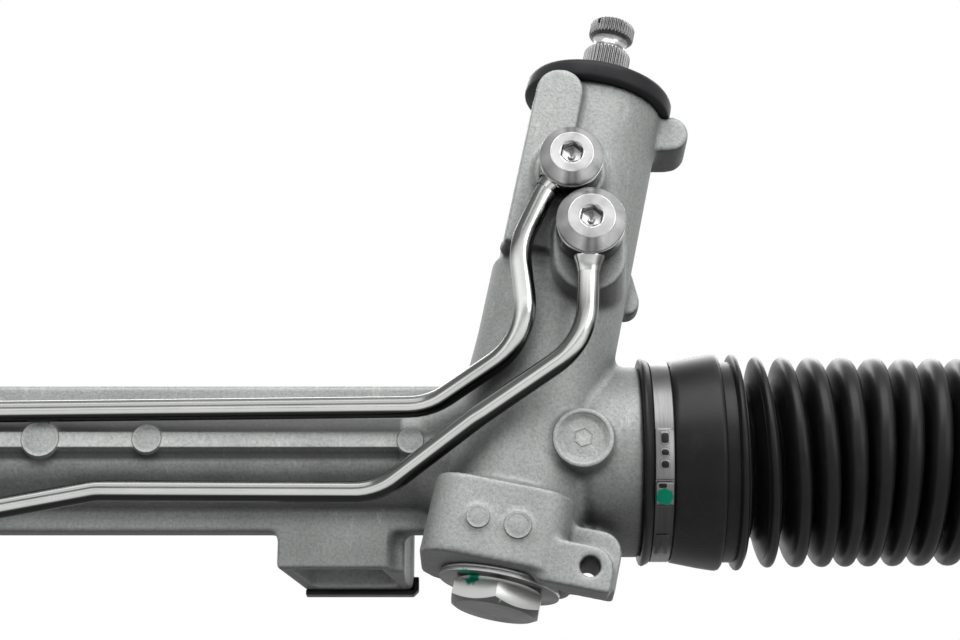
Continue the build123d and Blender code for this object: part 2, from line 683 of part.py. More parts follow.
with BuildPart() as valve_sleeve:
    with BuildSketch(tower(SLEEVE_LOW)):
        Circle(SLEEVE_R)
        Circle(INPUT_R + RUNNING, mode=Mode.SUBTRACT)
    extrude(amount=SLEEVE_HIGH - SLEEVE_LOW)
    chamfer(valve_sleeve.edges().filter_by(GeomType.CIRCLE), 0.5)
    for height in RING_HEIGHTS:
        with BuildSketch(tower(height)):
            Circle(SLEEVE_R + 1)
            Circle(SLEEVE_R - RING_DEEP, mode=Mode.SUBTRACT)
        extrude(amount=RING_WIDE, mode=Mode.SUBTRACT)
    for low, high in zip(RING_HEIGHTS, RING_HEIGHTS[1:]):
        with BuildSketch(tower((low + high + RING_WIDE) / 2 - 2.5)):
            Circle(SLEEVE_R + 1)
            Circle(SLEEVE_R - 1.2, mode=Mode.SUBTRACT)
        extrude(amount=5, mode=Mode.SUBTRACT)
        for turn in (0, 90):
            hole = tower((low + high + RING_WIDE) / 2) * Location((0, 0, 0), (90, turn, 0))
            with Locations(hole):
                Cylinder(1.6, 3 * SLEEVE_R, mode=Mode.SUBTRACT)
    with BuildSketch(tower_front(-PINION_BACK)):
        with Locations((0, DRIVE_PIN_H)):
            Circle(DRIVE_PIN_R)
    extrude(amount=2 * SLEEVE_R, mode=Mode.SUBTRACT)
save(valve_sleeve.part, "valve_sleeve")

with BuildPart() as valve_rings:
    for height in RING_HEIGHTS:
        add(ring(tower(height), SLEEVE_R - RING_DEEP, VALVE_BORE_R - RUNNING, RING_WIDE))
save(valve_rings.part, "valve_rings")

with BuildPart() as drive_pin:
    with BuildSketch(tower_front(-PINION_BACK - INPUT_R - RUNNING)):
        with Locations((0, DRIVE_PIN_H)):
            Circle(DRIVE_PIN_R)
    extrude(amount=SLEEVE_R - INPUT_R - 0.6)
save(drive_pin.part, "drive_pin")

# Bearings, seals and rings of the tower
UPPER_BEARING_LOW = VALVE_HIGH
UPPER_BEARING_THICK = 12.0
INPUT_SEAL_LONG = SNAP_LOW - UPPER_BEARING_LOW - UPPER_BEARING_THICK
NEEDLE_LONG = 14.0

save(bearing(tower(UPPER_BEARING_LOW), INPUT_R + RUNNING, UPPER_BEARING_R, UPPER_BEARING_THICK),
     "upper_bearing")
save(bearing(tower(LOWER_BEARING_TOP - LOWER_BEARING_THICK), JOURNAL_LOW_R + RUNNING, LOWER_BEARING_R,
             LOWER_BEARING_THICK), "lower_bearing")


# Shaft seal: rubber case with a lip cone and a garter groove
def shaft_seal(low, inner, outer, long):
    with BuildPart() as body:
        with BuildSketch(tower_front(-PINION_BACK)):
            with BuildLine():
                Polyline((inner + RUNNING, low + 1), (inner + 2.5, low), (outer, low), (outer, low + long),
                         (inner + 1.5, low + long), (inner + 1.5, low + long - 2), (inner + 3, low + 3),
                         (inner + RUNNING, low + 2.5), close=True)
            make_face()
        revolve(axis=PINION_AXIS)
    return body.part


save(shaft_seal(UPPER_BEARING_LOW + UPPER_BEARING_THICK, INPUT_R, UPPER_BEARING_R, INPUT_SEAL_LONG),
     "input_seal")
save(ring(tower(SNAP_LOW), UPPER_BEARING_R - 3, UPPER_BEARING_R + CIRCLIP_DEEP, CIRCLIP_THICK),
     "snap_ring")
save(ring(tower(LOWER_BEARING_TOP - LOWER_BEARING_THICK - CIRCLIP_THICK), LOWER_BEARING_R - 2.5,
          LOWER_BEARING_R + CIRCLIP_DEEP, CIRCLIP_THICK), "lower_circlip")
save(ring(tower(NEEDLE_LOW), JOURNAL_TOP_R + RUNNING, NEEDLE_BORE_R, NEEDLE_LONG), "needle_bearing")
seal_low = NEEDLE_LOW + NEEDLE_LONG
save(shaft_seal(seal_low, JOURNAL_TOP_R, NEEDLE_BORE_R, VALVE_LOW - seal_low - 0.8), "pinion_seal")

with BuildPart() as dust_cap:
    with BuildSketch(tower_front(-PINION_BACK)):
        with BuildLine():
            lip_r = SPLINE_LOW_R + 0.6 + RUNNING
            crown = TOWER_TOP + DUST_CAP_HIGH
            Polyline((lip_r, crown - 1.7), (lip_r, crown - 0.7), (14, crown), (DUST_CAP_R - 2.5, crown),
                     (DUST_CAP_R - 0.7, crown - 0.6), (DUST_CAP_R, crown - 2),
                     (DUST_CAP_R, TOWER_TOP + 0.6), (DUST_CAP_R - 0.6, TOWER_TOP), (17, TOWER_TOP),
                     (17, crown - 3.7), (12, crown - 1.7), close=True)
        make_face()
    revolve(axis=PINION_AXIS)
save(dust_cap.part, "dust_cap")

# Pinion nut, hexagon cap and its sealing ring
CAP_HEX = 32.0
CAP_FLANGE_THICK = 1.6
CAP_RING_THICK = 1.2
CAP_NECK_LONG = 1.6
CAP_HEX_LONG = 7.6

with BuildPart() as pinion_nut:
    with BuildSketch(tower(NUT_LOW)):
        RegularPolygon(19 / 2, 6, major_radius=False)
        Circle(6, mode=Mode.SUBTRACT)
    extrude(amount=NUT_HIGH - NUT_LOW)
save(pinion_nut.part, "pinion_nut")

with BuildPart() as pinion_cap:
    with BuildSketch(tower(BLOCK_BOTTOM - CAP_RING_THICK)):
        Circle(CAP_BORE_R)
    extrude(amount=CAP_RING_THICK + CAP_THREAD_LONG)
    with BuildSketch(tower(BLOCK_BOTTOM + CAP_THREAD_LONG)):
        Circle(CAP_BORE_R - 6)
    extrude(amount=-CAP_THREAD_LONG + 2, mode=Mode.SUBTRACT)
    with BuildSketch(tower(BLOCK_BOTTOM - CAP_RING_THICK)):
        Circle(CAP_FLANGE_R)
    extrude(amount=-CAP_FLANGE_THICK)
    with BuildSketch(tower(BLOCK_BOTTOM - CAP_RING_THICK - CAP_FLANGE_THICK)):
        Circle(CAP_HEX / 2 - 0.6)
    extrude(amount=-CAP_NECK_LONG)
    with BuildSketch(tower(BLOCK_BOTTOM - CAP_RING_THICK - CAP_FLANGE_THICK - CAP_NECK_LONG)):
        RegularPolygon(CAP_HEX / 2, 6, major_radius=False, rotation=30)
    extrude(amount=-CAP_HEX_LONG)
    with BuildSketch(tower_front(-PINION_BACK)):
        with BuildLine():
            end = BLOCK_BOTTOM - CAP_RING_THICK - CAP_FLANGE_THICK - CAP_NECK_LONG - CAP_HEX_LONG
            Polyline((0, end), (CAP_HEX / 2 - 1.2, end), (CAP_HEX / 2 + 3.5, end + 2.6),
                     (CAP_BORE_R + 3, end + 2.6), (CAP_BORE_R + 3, BLOCK_BOTTOM + 20),
                     (0, BLOCK_BOTTOM + 20), close=True)
        make_face()
    revolve(axis=PINION_AXIS, mode=Mode.INTERSECT)
save(pinion_cap.part, "pinion_cap")
save(ring(tower(BLOCK_BOTTOM - CAP_RING_THICK), CAP_BORE_R, CAP_FLANGE_R - 0.4, CAP_RING_THICK),
     "cap_ring")

# Rack bar with straight-flanked teeth cut in its front
STUD_R = 7.0
STUD_LONG = 16.0
LOCK_THICK = 1.5
PISTON_X = (CYLINDER_LEFT + CYLINDER_RIGHT) / 2 + 13
PISTON_HALF = 6.0
PISTON_CLIP_DEEP = 1.2

with BuildPart() as rack_bar:
    with BuildSketch(across(LEFT_SHOULDER)):
        Circle(RACK_R)
    extrude(amount=RACK_SHOULDER - LEFT_SHOULDER)
    chamfer(rack_bar.edges().filter_by(GeomType.CIRCLE), 0.8)
    with BuildSketch(level(-RACK_R - 1)):
        with Locations((0, -TOOTH_TOP - 5)):
            Rectangle(2 * TOOTHED_HALF, 10)
        gap_top = RACK_PITCH / 4 + TOOTH_ADDENDUM * tan(radians(PRESSURE)) + BACKLASH / 2
        gap_root = RACK_PITCH / 4 - TOOTH_DEDENDUM * tan(radians(PRESSURE)) + BACKLASH / 2
        root_depth = -TOOTH_TOP + TOOTH_ADDENDUM + TOOTH_DEDENDUM
        gaps = 2 * int((TOOTHED_HALF - RACK_PITCH) / RACK_PITCH)
        with GridLocations(RACK_PITCH, 1, gaps, 1):
            with Locations((0, 0)):
                Polygon((-gap_top, -TOOTH_TOP - 1), (-gap_top, -TOOTH_TOP), (-gap_root, root_depth),
                        (gap_root, root_depth), (gap_top, -TOOTH_TOP), (gap_top, -TOOTH_TOP - 1),
                        align=None)
    extrude(amount=2 * RACK_R + 2, mode=Mode.SUBTRACT)
    for start in (RACK_SHOULDER - STUD_LONG - 2, LEFT_SHOULDER):
        with BuildSketch(across(start)):
            Circle(STUD_R)
        extrude(amount=STUD_LONG + 2, mode=Mode.SUBTRACT)
    for x in (PISTON_X - PISTON_HALF - CIRCLIP_THICK, PISTON_X + PISTON_HALF):
        with BuildSketch(across(x)):
            Circle(RACK_R + 1)
            Circle(RACK_R - PISTON_CLIP_DEEP, mode=Mode.SUBTRACT)
        extrude(amount=CIRCLIP_THICK, mode=Mode.SUBTRACT)
save(rack_bar.part, "rack_bar")

# Piston, its ring and the two clips beside it
PISTON_RING_DEEP = 2.0
PISTON_RING_HALF = 1.75

with BuildPart() as piston:
    with BuildSketch(across(PISTON_X - PISTON_HALF)):
        Circle(CYLINDER_BORE_R - LOOSE)
        Circle(RACK_R, mode=Mode.SUBTRACT)
    extrude(amount=2 * PISTON_HALF)
    chamfer(piston.edges().filter_by(GeomType.CIRCLE).sort_by(SortBy.RADIUS)[-2:], 0.8)
    with BuildSketch(across(PISTON_X - PISTON_RING_HALF)):
        Circle(CYLINDER_BORE_R + 1)
        Circle(CYLINDER_BORE_R - PISTON_RING_DEEP, mode=Mode.SUBTRACT)
    extrude(amount=2 * PISTON_RING_HALF, mode=Mode.SUBTRACT)
save(piston.part, "piston")
save(ring(across(PISTON_X - PISTON_RING_HALF), CYLINDER_BORE_R - PISTON_RING_DEEP,
          CYLINDER_BORE_R - RUNNING, 2 * PISTON_RING_HALF), "piston_ring")

with BuildPart() as piston_clips:
    for x in (PISTON_X - PISTON_HALF - CIRCLIP_THICK, PISTON_X + PISTON_HALF):
        add(ring(across(x), RACK_R - PISTON_CLIP_DEEP, RACK_R + 2.2, CIRCLIP_THICK))
save(piston_clips.part, "piston_clips")

# Inner rack seal, back-up ring, cylinder end bush, seal and retaining ring, right bush
SEAL_LONG = 7.0
END_BUSH_LONG = 20.0
END_SEAL_LONG = 7.0


# Rack seal with a lip that faces the oil, revolved about the rack
def rack_seal(x, outer, long, facing):
    with BuildPart() as body:
        with BuildSketch(front(0)):
            with BuildLine():
                Polyline((x, RACK_R + RUNNING), (x + facing * long, RACK_R + RUNNING),
                         (x + facing * long, RACK_R + 1.2), (x + facing * (long - 3), RACK_R + 2),
                         (x + facing * (long - 3), outer - 1.4), (x + facing * long, outer - 0.8),
                         (x + facing * long, outer), (x, outer), close=True)
            make_face()
        revolve(axis=RACK_AXIS)
    return body.part


seal_back = CYLINDER_RIGHT + SEAL_SEAT_LONG
save(rack_seal(seal_back - 2, SEAL_SEAT_R, SEAL_LONG, -1), "inner_rack_seal")
save(ring(across(seal_back - 2), RACK_R + RUNNING, SEAL_SEAT_R, 2), "backup_ring")
end_bush_left = CYLINDER_LEFT + 8
with BuildPart() as end_bush:
    with BuildSketch(across(end_bush_left)):
        Circle(CYLINDER_BORE_R)
        Circle(RACK_R + RUNNING, mode=Mode.SUBTRACT)
    extrude(amount=END_BUSH_LONG)
    chamfer(end_bush.edges().filter_by(GeomType.CIRCLE).sort_by(Axis.X)[:1], 0.5)
    with BuildSketch(across(end_bush_left + 6)):
        Circle(CYLINDER_BORE_R + 1)
        Circle(CYLINDER_BORE_R - 1.5, mode=Mode.SUBTRACT)
    extrude(amount=2.5, mode=Mode.SUBTRACT)
save(end_bush.part, "end_bush")
save(rack_seal(end_bush_left + END_BUSH_LONG, CYLINDER_BORE_R, END_SEAL_LONG, 1), "end_seal")
save(ring(across(end_bush_left - 2), CYLINDER_BORE_R - 3, CYLINDER_BORE_R, 2), "end_ring")

with BuildPart() as rack_bush:
    with BuildSketch(across(SEAT_END - BUSH_SEAT_LONG)):
        Circle(BUSH_SEAT_R)
        Circle(RACK_R + 2 * RUNNING, mode=Mode.SUBTRACT)
    extrude(amount=BUSH_SEAT_LONG - 1)
    with BuildSketch(across(SEAT_END - BUSH_SEAT_LONG)):
        with PolarLocations(RACK_R, 6, start_angle=30):
            Rectangle(1.6, 2.5)
    extrude(amount=BUSH_SEAT_LONG - 1, mode=Mode.SUBTRACT)
save(rack_bush.part, "rack_bush")

# Yoke behind the rack, its liner, spring, plug, seal and lock nut
SPRING_WIRE_R = 1.6
SPRING_R = 8.0
SPRING_SEAT = 24.0
PLUG_FRONT = YOKE_BACK + 0.4
PLUG_BACK = YOKE_BOSS_END + 5
LOCK_NUT_R = 19.0

with BuildPart() as yoke:
    with BuildSketch(front(YOKE_BACK)):
        Circle(YOKE_R - RUNNING)
    extrude(amount=YOKE_BACK - YOKE_FACE)
    with BuildSketch(across(-YOKE_R - 1)):
        Circle(RACK_R + RUNNING + LINER_THICK)
    extrude(amount=2 * YOKE_R + 2, mode=Mode.SUBTRACT)
    with BuildSketch(front(YOKE_BACK)):
        Circle(SPRING_R + SPRING_WIRE_R + LOOSE)
    extrude(amount=YOKE_BACK - SPRING_SEAT, mode=Mode.SUBTRACT)
save(yoke.part, "yoke")

with BuildPart() as yoke_liner:
    with BuildSketch(across(-YOKE_R + 3)):
        Circle(RACK_R + RUNNING + LINER_THICK)
        Circle(RACK_R + RUNNING, mode=Mode.SUBTRACT)
        with Locations((-RACK_R, 0)):
            Rectangle(2 * RACK_R + 2 * YOKE_FACE + 6, 3 * RACK_R, mode=Mode.SUBTRACT)
    extrude(amount=2 * YOKE_R - 6)
save(yoke_liner.part, "yoke_liner")

with BuildPart() as yoke_spring:
    spring_long = PLUG_FRONT + 6 - SPRING_SEAT - 2 * SPRING_WIRE_R
    with BuildLine():
        coil_start = at(0, PLUG_FRONT + 6 - SPRING_WIRE_R, 0)
        Helix(pitch=spring_long / 3.5, height=spring_long, radius=SPRING_R, center=coil_start,
              direction=(0, -1, 0))
    wire = yoke_spring.pending_edges[0]
    with BuildSketch(Plane(origin=wire @ 0, z_dir=wire % 0)):
        Circle(SPRING_WIRE_R)
    sweep(is_frenet=True)
save(yoke_spring.part, "yoke_spring")

with BuildPart() as yoke_plug:
    with BuildSketch(front(PLUG_BACK)):
        Circle(YOKE_R)
    extrude(amount=PLUG_BACK - PLUG_FRONT)
    with BuildSketch(front(PLUG_FRONT)):
        Circle(SPRING_R + SPRING_WIRE_R + LOOSE)
    extrude(amount=-6, mode=Mode.SUBTRACT)
    with BuildSketch(front(PLUG_BACK)):
        RegularPolygon(8.5, 6, major_radius=False)
    extrude(amount=7, mode=Mode.SUBTRACT)
    with BuildSketch(front(PLUG_FRONT + 5)):
        Circle(YOKE_R + 1)
        Circle(YOKE_R - 1.5, mode=Mode.SUBTRACT)
    extrude(amount=2.4, mode=Mode.SUBTRACT)
save(yoke_plug.part, "yoke_plug")

with BuildPart() as yoke_o_ring:
    with BuildSketch(front(PLUG_FRONT + 4.9)):
        Circle(YOKE_R)
        Circle(YOKE_R - 1.5, mode=Mode.SUBTRACT)
    extrude(amount=2.2)
save(yoke_o_ring.part, "yoke_o_ring")

with BuildPart() as yoke_nut:
    with BuildSketch(front(YOKE_BOSS_END)):
        RegularPolygon(LOCK_NUT_R, 8, major_radius=False)
        Circle(YOKE_R, mode=Mode.SUBTRACT)
    extrude(amount=-4)
save(yoke_nut.part, "yoke_nut")

# Transfer pipes from the banjo eyes to the cylinder ports, banjo bolts and washers
UPPER_ROUTE = ((6.9, -54.8, 88.8), (-3.2, -54.0, 66.7), (0.7, -49.8, 32.0), (-36.0, -28.2, 13.0),
               (-200.0, -24.0, 12.4), (-226.0, FAR_PORT[1], FAR_PORT[2]))
LOWER_ROUTE = ((20.8, -57.3, 28.2), (-18.0, -45.0, 4.3), (-54.5, -25.0, -18.6), (-158.5, -24.0, -17.8),
               (NEAR_PORT[0] + 18, NEAR_PORT[1], NEAR_PORT[2]))
UPPER_BENDS = 24.0
LOWER_BENDS = 26.0


# Pipe with its banjo eye: the route starts at the eye and ends in the port
def banjo_pipe(place, seat, eye_r, route, port, bend):
    eye = seat - WASHER_THICK - EYE_THICK / 2
    start = at(place[0], eye, place[1])
    points = [start] + [at(x, y, z) for x, y, z in route] + [at(port[0] - 8, port[1], port[2])]
    with BuildPart() as body:
        with BuildSketch(front(seat - WASHER_THICK)):
            with Locations(place):
                Circle(eye_r)
        extrude(amount=EYE_THICK)
        chamfer(body.edges().filter_by(GeomType.CIRCLE), 0.5)
        with BuildLine() as path:
            FilletPolyline(*points, radius=bend)
        with BuildSketch(Plane(origin=path.line @ 0, z_dir=path.line % 0)):
            Circle(PIPE_R)
        sweep(path=path.line)
        with BuildSketch(front(seat - WASHER_THICK)):
            with Locations(place):
                Circle(BANJO_SHANK_R + LOOSE)
        extrude(amount=EYE_THICK, mode=Mode.SUBTRACT)
    return body.part


save(banjo_pipe(BANJO_PLACES[0], BANJO_SEATS[0], EYE_RADII[0], UPPER_ROUTE, FAR_PORT, UPPER_BENDS),
     "upper_pipe")
save(banjo_pipe(BANJO_PLACES[1], BANJO_SEATS[1], EYE_RADII[1], LOWER_ROUTE, NEAR_PORT, LOWER_BENDS),
     "lower_pipe")

with BuildPart() as banjo_bolts:
    for place, seat, head_r in zip(BANJO_PLACES, BANJO_SEATS, BANJO_HEAD_RADII):
        under = seat - 2 * WASHER_THICK - EYE_THICK
        with BuildSketch(front(under)):
            with Locations(place):
                Circle(head_r)
        head = extrude(amount=BANJO_HEAD_THICK)
        chamfer(head.faces().sort_by(Axis.Y)[0].edges(), BANJO_HEAD_THICK * 0.55, head_r * 0.32)
        with BuildSketch(front(under)):
            with Locations(place):
                Circle(BANJO_SHANK_R)
        extrude(amount=seat - 10 - under + 1)
save(banjo_bolts.part, "banjo_bolts")

with BuildPart() as banjo_washers:
    for place, seat, eye_r in zip(BANJO_PLACES, BANJO_SEATS, EYE_RADII):
        for face in (seat, seat - WASHER_THICK - EYE_THICK):
            with BuildSketch(front(face)):
                with Locations(place):
                    Circle(eye_r - 0.5)
                    Circle(BANJO_SHANK_R, mode=Mode.SUBTRACT)
            extrude(amount=WASHER_THICK)
save(banjo_washers.part, "banjo_washers")

# Union nuts at the cylinder ports
with BuildPart() as pipe_nuts:
    for x, y, z in (NEAR_PORT, FAR_PORT):
        with BuildSketch(across(x)):
            with Locations((y, z)):
                RegularPolygon(PORT_R - 0.5, 6, major_radius=False)
        extrude(amount=PORT_NUT_LONG - 4)
        with BuildSketch(across(x)):
            with Locations((y, z)):
                Circle(PORT_R - 1)
        extrude(amount=-8)
        with BuildSketch(across(x - 8)):
            with Locations((y, z)):
                Circle(PIPE_R)
        extrude(amount=PORT_NUT_LONG + 8, mode=Mode.SUBTRACT)
save(pipe_nuts.part, "pipe_nuts")

# Bellows: collar on the housing, convolutions that taper a little, small cuff on the rod
ROD_CUFF_LONG = 12.0
ROD_CUFF_WALL = 2.0
LIP_LONG = 3.7
FIRST_FOLD_X = 78.5
FOLD_PITCH = 10.4
FOLD_FLAT = 1.2
FOLD_DEEP = 4.2
FOLD_TAPER = 0.1
CUFF_WALL = 3.0
BAND_GAP = 0.1
CUFF_X = FIRST_FOLD_X + BELLOWS_TURNS * FOLD_PITCH + 3


def bellows(seat_r):
    outer = [(NECK_END, seat_r), (NECK_END, seat_r + 4.5), (NECK_END + 1, seat_r + 5.4),
             (NECK_END + LIP_LONG, seat_r + 4), (NECK_END + LIP_LONG, seat_r + CUFF_WALL),
             (SEAT_END - 1.5, seat_r + CUFF_WALL), (SEAT_END - 1.2, seat_r + 4),
             (SEAT_END + 16, seat_r + 7), (SEAT_END + 18.5, seat_r + 5.5)]
    inner = [(SEAT_END, seat_r), (SEAT_END + 14, seat_r + 7 - CUFF_WALL)]
    for fold in range(BELLOWS_TURNS):
        x = FIRST_FOLD_X + fold * FOLD_PITCH
        peak = BELLOWS_PEAK_R - FOLD_TAPER * fold
        valley = BELLOWS_VALLEY_R - FOLD_TAPER / 2 * fold
        if fold == 0:
            peak = max(peak, seat_r + 7)
            valley_before = max(seat_r - 1, valley)
            outer.append((x - FOLD_PITCH / 2 + FOLD_FLAT, valley_before))
            inner.append((x - FOLD_PITCH / 2 + FOLD_FLAT, valley_before - FOLD_DEEP))
        outer += [(x - FOLD_FLAT, peak), (x + FOLD_FLAT, peak), (x + FOLD_PITCH / 2, valley)]
        inner += [(x, peak - FOLD_DEEP), (x + FOLD_PITCH / 2, valley - FOLD_DEEP)]
    outer += [(CUFF_X + 1, ROD_R + 6), (CUFF_X + 2, ROD_R + ROD_CUFF_WALL),
              (CUFF_X + ROD_CUFF_LONG, ROD_R + ROD_CUFF_WALL)]
    inner += [(CUFF_X - 1, ROD_R + 4), (CUFF_X, ROD_R), (CUFF_X + ROD_CUFF_LONG, ROD_R)]
    with BuildPart() as body:
        with BuildSketch(front(0)):
            with BuildLine():
                Polyline(*outer, *reversed(inner), close=True)
            make_face()
        revolve(axis=RACK_AXIS)
    return body.part


# Band clamp round the cuff, with its overlapped end and hook in front
def band_clamp(cuff_r):
    middle = (NECK_END + LIP_LONG + SEAT_END - 1.5) / 2
    with BuildPart() as body:
        with BuildSketch(across(middle - BAND_WIDE / 2)):
            Circle(cuff_r + BAND_THICK)
            Circle(cuff_r, mode=Mode.SUBTRACT)
        extrude(amount=BAND_WIDE)
        with BuildSketch(across(middle - BAND_WIDE / 2 + 0.5)):
            Circle(cuff_r + 2 * BAND_THICK)
            Circle(cuff_r + BAND_THICK, mode=Mode.SUBTRACT)
            with Locations((-cuff_r, -1)):
                Rectangle(cuff_r, 24, mode=Mode.INTERSECT)
        extrude(amount=BAND_WIDE - 1)
        with BuildSketch(front(-cuff_r - 2 * BAND_THICK - 0.9)):
            with Locations((middle, -10.5)):
                RectangleRounded(4.6, 9, 0.6)
        extrude(amount=-2)
    return body.part


MIRROR_X = (RACK_SHOULDER + LEFT_SHOULDER) / 2
MIDDLE_PLANE = Plane(origin=at(MIRROR_X, 0, 0), x_dir=(0, 1, 0), z_dir=(1, 0, 0))


# A piece made for the right end and its mirror image for the left end
def save_pair(right, left, name):
    save(right, "right_" + name)
    save(mirror(left, about=MIDDLE_PLANE), "left_" + name)


save_pair(bellows(SEAT_R), bellows(CYLINDER_R), "bellows")
save_pair(band_clamp(SEAT_R + CUFF_WALL + BAND_GAP), band_clamp(CYLINDER_R + CUFF_WALL + BAND_GAP),
          "band_clamp")

with BuildPart() as rod_clamp:
    with BuildSketch(across(CUFF_X + 4)):
        Circle(ROD_R + ROD_CUFF_WALL + BAND_GAP + BAND_THICK)
        Circle(ROD_R + ROD_CUFF_WALL + BAND_GAP, mode=Mode.SUBTRACT)
    extrude(amount=5)
    with BuildSketch(front(-ROD_R - ROD_CUFF_WALL - 3)):
        with Locations((CUFF_X + 6.5, 0)):
            RectangleRounded(4.6, 4, 0.6)
    extrude(amount=-3)
save_pair(rod_clamp.part, rod_clamp.part, "rod_clamp")

# Inner ball joints: housing screwed into the rack bar, plastic seat and ball-ended rod
SEAT_SHELL = 1.4
SOCKET_END = RIGHT_BALL + 15
SOCKET_START = RACK_SHOULDER + LOCK_THICK
SEAT_CUT = 7.0
ROD_NECK_R = 5.8
MOUTH_R = 12.2

with BuildPart() as ball_housing:
    with BuildSketch(front(0)):
        with BuildLine():
            cavity = BALL_R + SEAT_SHELL
            lip = (RIGHT_BALL + SEAT_CUT, sqrt(cavity**2 - SEAT_CUT**2))
            Polyline((RIGHT_BALL - cavity, 0), (RACK_SHOULDER - STUD_LONG, 0),
                     (RACK_SHOULDER - STUD_LONG, STUD_R - 1),
                     (RACK_SHOULDER - STUD_LONG + 1, STUD_R), (SOCKET_START, STUD_R),
                     (SOCKET_START, SOCKET_R - 1), (SOCKET_START + 1, SOCKET_R),
                     (SOCKET_END - 5, SOCKET_R), (SOCKET_END, SOCKET_R - 2.2),
                     (SOCKET_END, MOUTH_R), lip)
            ThreePointArc(lip, (RIGHT_BALL, cavity), (RIGHT_BALL - cavity, 0))
        make_face()
    revolve(axis=RACK_AXIS)
    with BuildSketch(across(SOCKET_START + 3)):
        Rectangle(3 * SOCKET_R, 3 * SOCKET_R)
        Rectangle(2 * SOCKET_R - 3, 3 * SOCKET_R, mode=Mode.SUBTRACT)
    extrude(amount=9, mode=Mode.SUBTRACT)
save_pair(ball_housing.part, ball_housing.part, "ball_housing")

with BuildPart() as ball_seat:
    with BuildSketch(front(0)):
        with BuildLine():
            shell = BALL_R + RUNNING
            Line((RIGHT_BALL - cavity, 0), (RIGHT_BALL - shell, 0))
            ThreePointArc((RIGHT_BALL - shell, 0), (RIGHT_BALL, shell),
                          (RIGHT_BALL + 5, sqrt(shell**2 - 25)))
            Line((RIGHT_BALL + 5, sqrt(shell**2 - 25)), (RIGHT_BALL + 5, sqrt(cavity**2 - 25)))
            ThreePointArc((RIGHT_BALL + 5, sqrt(cavity**2 - 25)), (RIGHT_BALL, cavity),
                          (RIGHT_BALL - cavity, 0))
        make_face()
    revolve(axis=RACK_AXIS)
save_pair(ball_seat.part, ball_seat.part, "ball_seat")

with BuildPart() as tie_rod:
    with BuildSketch(front(0)):
        with BuildLine():
            rod_end = RIGHT_BALL + ROD_LONG
            thread_start = rod_end - ROD_THREAD_LONG
            neck_start = (RIGHT_BALL + sqrt(BALL_R**2 - ROD_NECK_R**2), ROD_NECK_R)
            ThreePointArc((RIGHT_BALL - BALL_R, 0), (RIGHT_BALL, BALL_R), neck_start)
            Polyline(neck_start, (RIGHT_BALL + 16, ROD_NECK_R), (RIGHT_BALL + 26, ROD_R),
                     (thread_start - 1, ROD_R), (thread_start, ROD_THREAD_R),
                     (rod_end - 1.5, ROD_THREAD_R), (rod_end, ROD_THREAD_R - 1.5), (rod_end, 0),
                     (RIGHT_BALL - BALL_R, 0))
        make_face()
    revolve(axis=RACK_AXIS)
    with BuildSketch(across(thread_start - 24)):
        Rectangle(3 * ROD_R, 3 * ROD_R)
        Rectangle(2 * ROD_R - 2, 3 * ROD_R, mode=Mode.SUBTRACT)
    extrude(amount=12, mode=Mode.SUBTRACT)
save_pair(tie_rod.part, tie_rod.part, "tie_rod")

with BuildPart() as lock_washers:
    add(ring(across(RACK_SHOULDER), STUD_R, RACK_R - 0.5, LOCK_THICK))
    add(ring(across(LEFT_SHOULDER - LOCK_THICK), STUD_R, RACK_R - 0.5, LOCK_THICK))
save(lock_washers.part, "lock_washers")

# Left mount bush and the pad of the saddle bracket
with BuildPart() as bush_rubber:
    with BuildSketch(front(-MOUNT_EYE_HALF - 1.5)):
        with Locations(MOUNT_EYE):
            Circle(BUSH_R)
            Circle(BUSH_SLEEVE_R, mode=Mode.SUBTRACT)
    extrude(amount=-2 * MOUNT_EYE_HALF - 3)
save(bush_rubber.part, "bush_rubber")

with BuildPart() as bush_sleeve:
    with BuildSketch(front(-MOUNT_EYE_HALF - 3)):
        with Locations(MOUNT_EYE):
            Circle(BUSH_SLEEVE_R)
            Circle(BUSH_BORE_R, mode=Mode.SUBTRACT)
    extrude(amount=-2 * MOUNT_EYE_HALF - 6)
save(bush_sleeve.part, "bush_sleeve")

PAD_THICK = 2.2
PAD_LIP = 2.0
with BuildPart() as saddle_pad:
    with BuildSketch(front(SADDLE_BACK + PAD_THICK)):
        with Locations((SADDLE_MIDDLE, (SADDLE_TOP + SADDLE_BOTTOM - PAD_LIP) / 2)):
            RectangleRounded(SADDLE_RIGHT - SADDLE_LEFT, SADDLE_TOP - SADDLE_BOTTOM + PAD_LIP, 1)
        with Locations((SADDLE_HOLE_X, 0)):
            Circle(SADDLE_HOLE_R + 3, mode=Mode.SUBTRACT)
    extrude(amount=PAD_THICK)
    pad_right = SADDLE_MIDDLE + (SADDLE_RIGHT - SADDLE_LEFT) / 2
    with BuildSketch(front(SADDLE_BACK + PAD_THICK)):
        with BuildLine():
            Polyline((SADDLE_LEFT + SADDLE_SKEW, SADDLE_BOTTOM - PAD_LIP),
                     (pad_right, SADDLE_BOTTOM - PAD_LIP),
                     (pad_right + PAD_LIP, SADDLE_BOTTOM),
                     (pad_right + PAD_LIP, SADDLE_BOTTOM + 5), (pad_right, SADDLE_BOTTOM + 5),
                     (pad_right, SADDLE_BOTTOM), (SADDLE_LEFT + SADDLE_SKEW, SADDLE_BOTTOM),
                     close=True)
        make_face()
    extrude(amount=PAD_THICK + 3)
save(saddle_pad.part, "saddle_pad")
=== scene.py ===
import json
import math

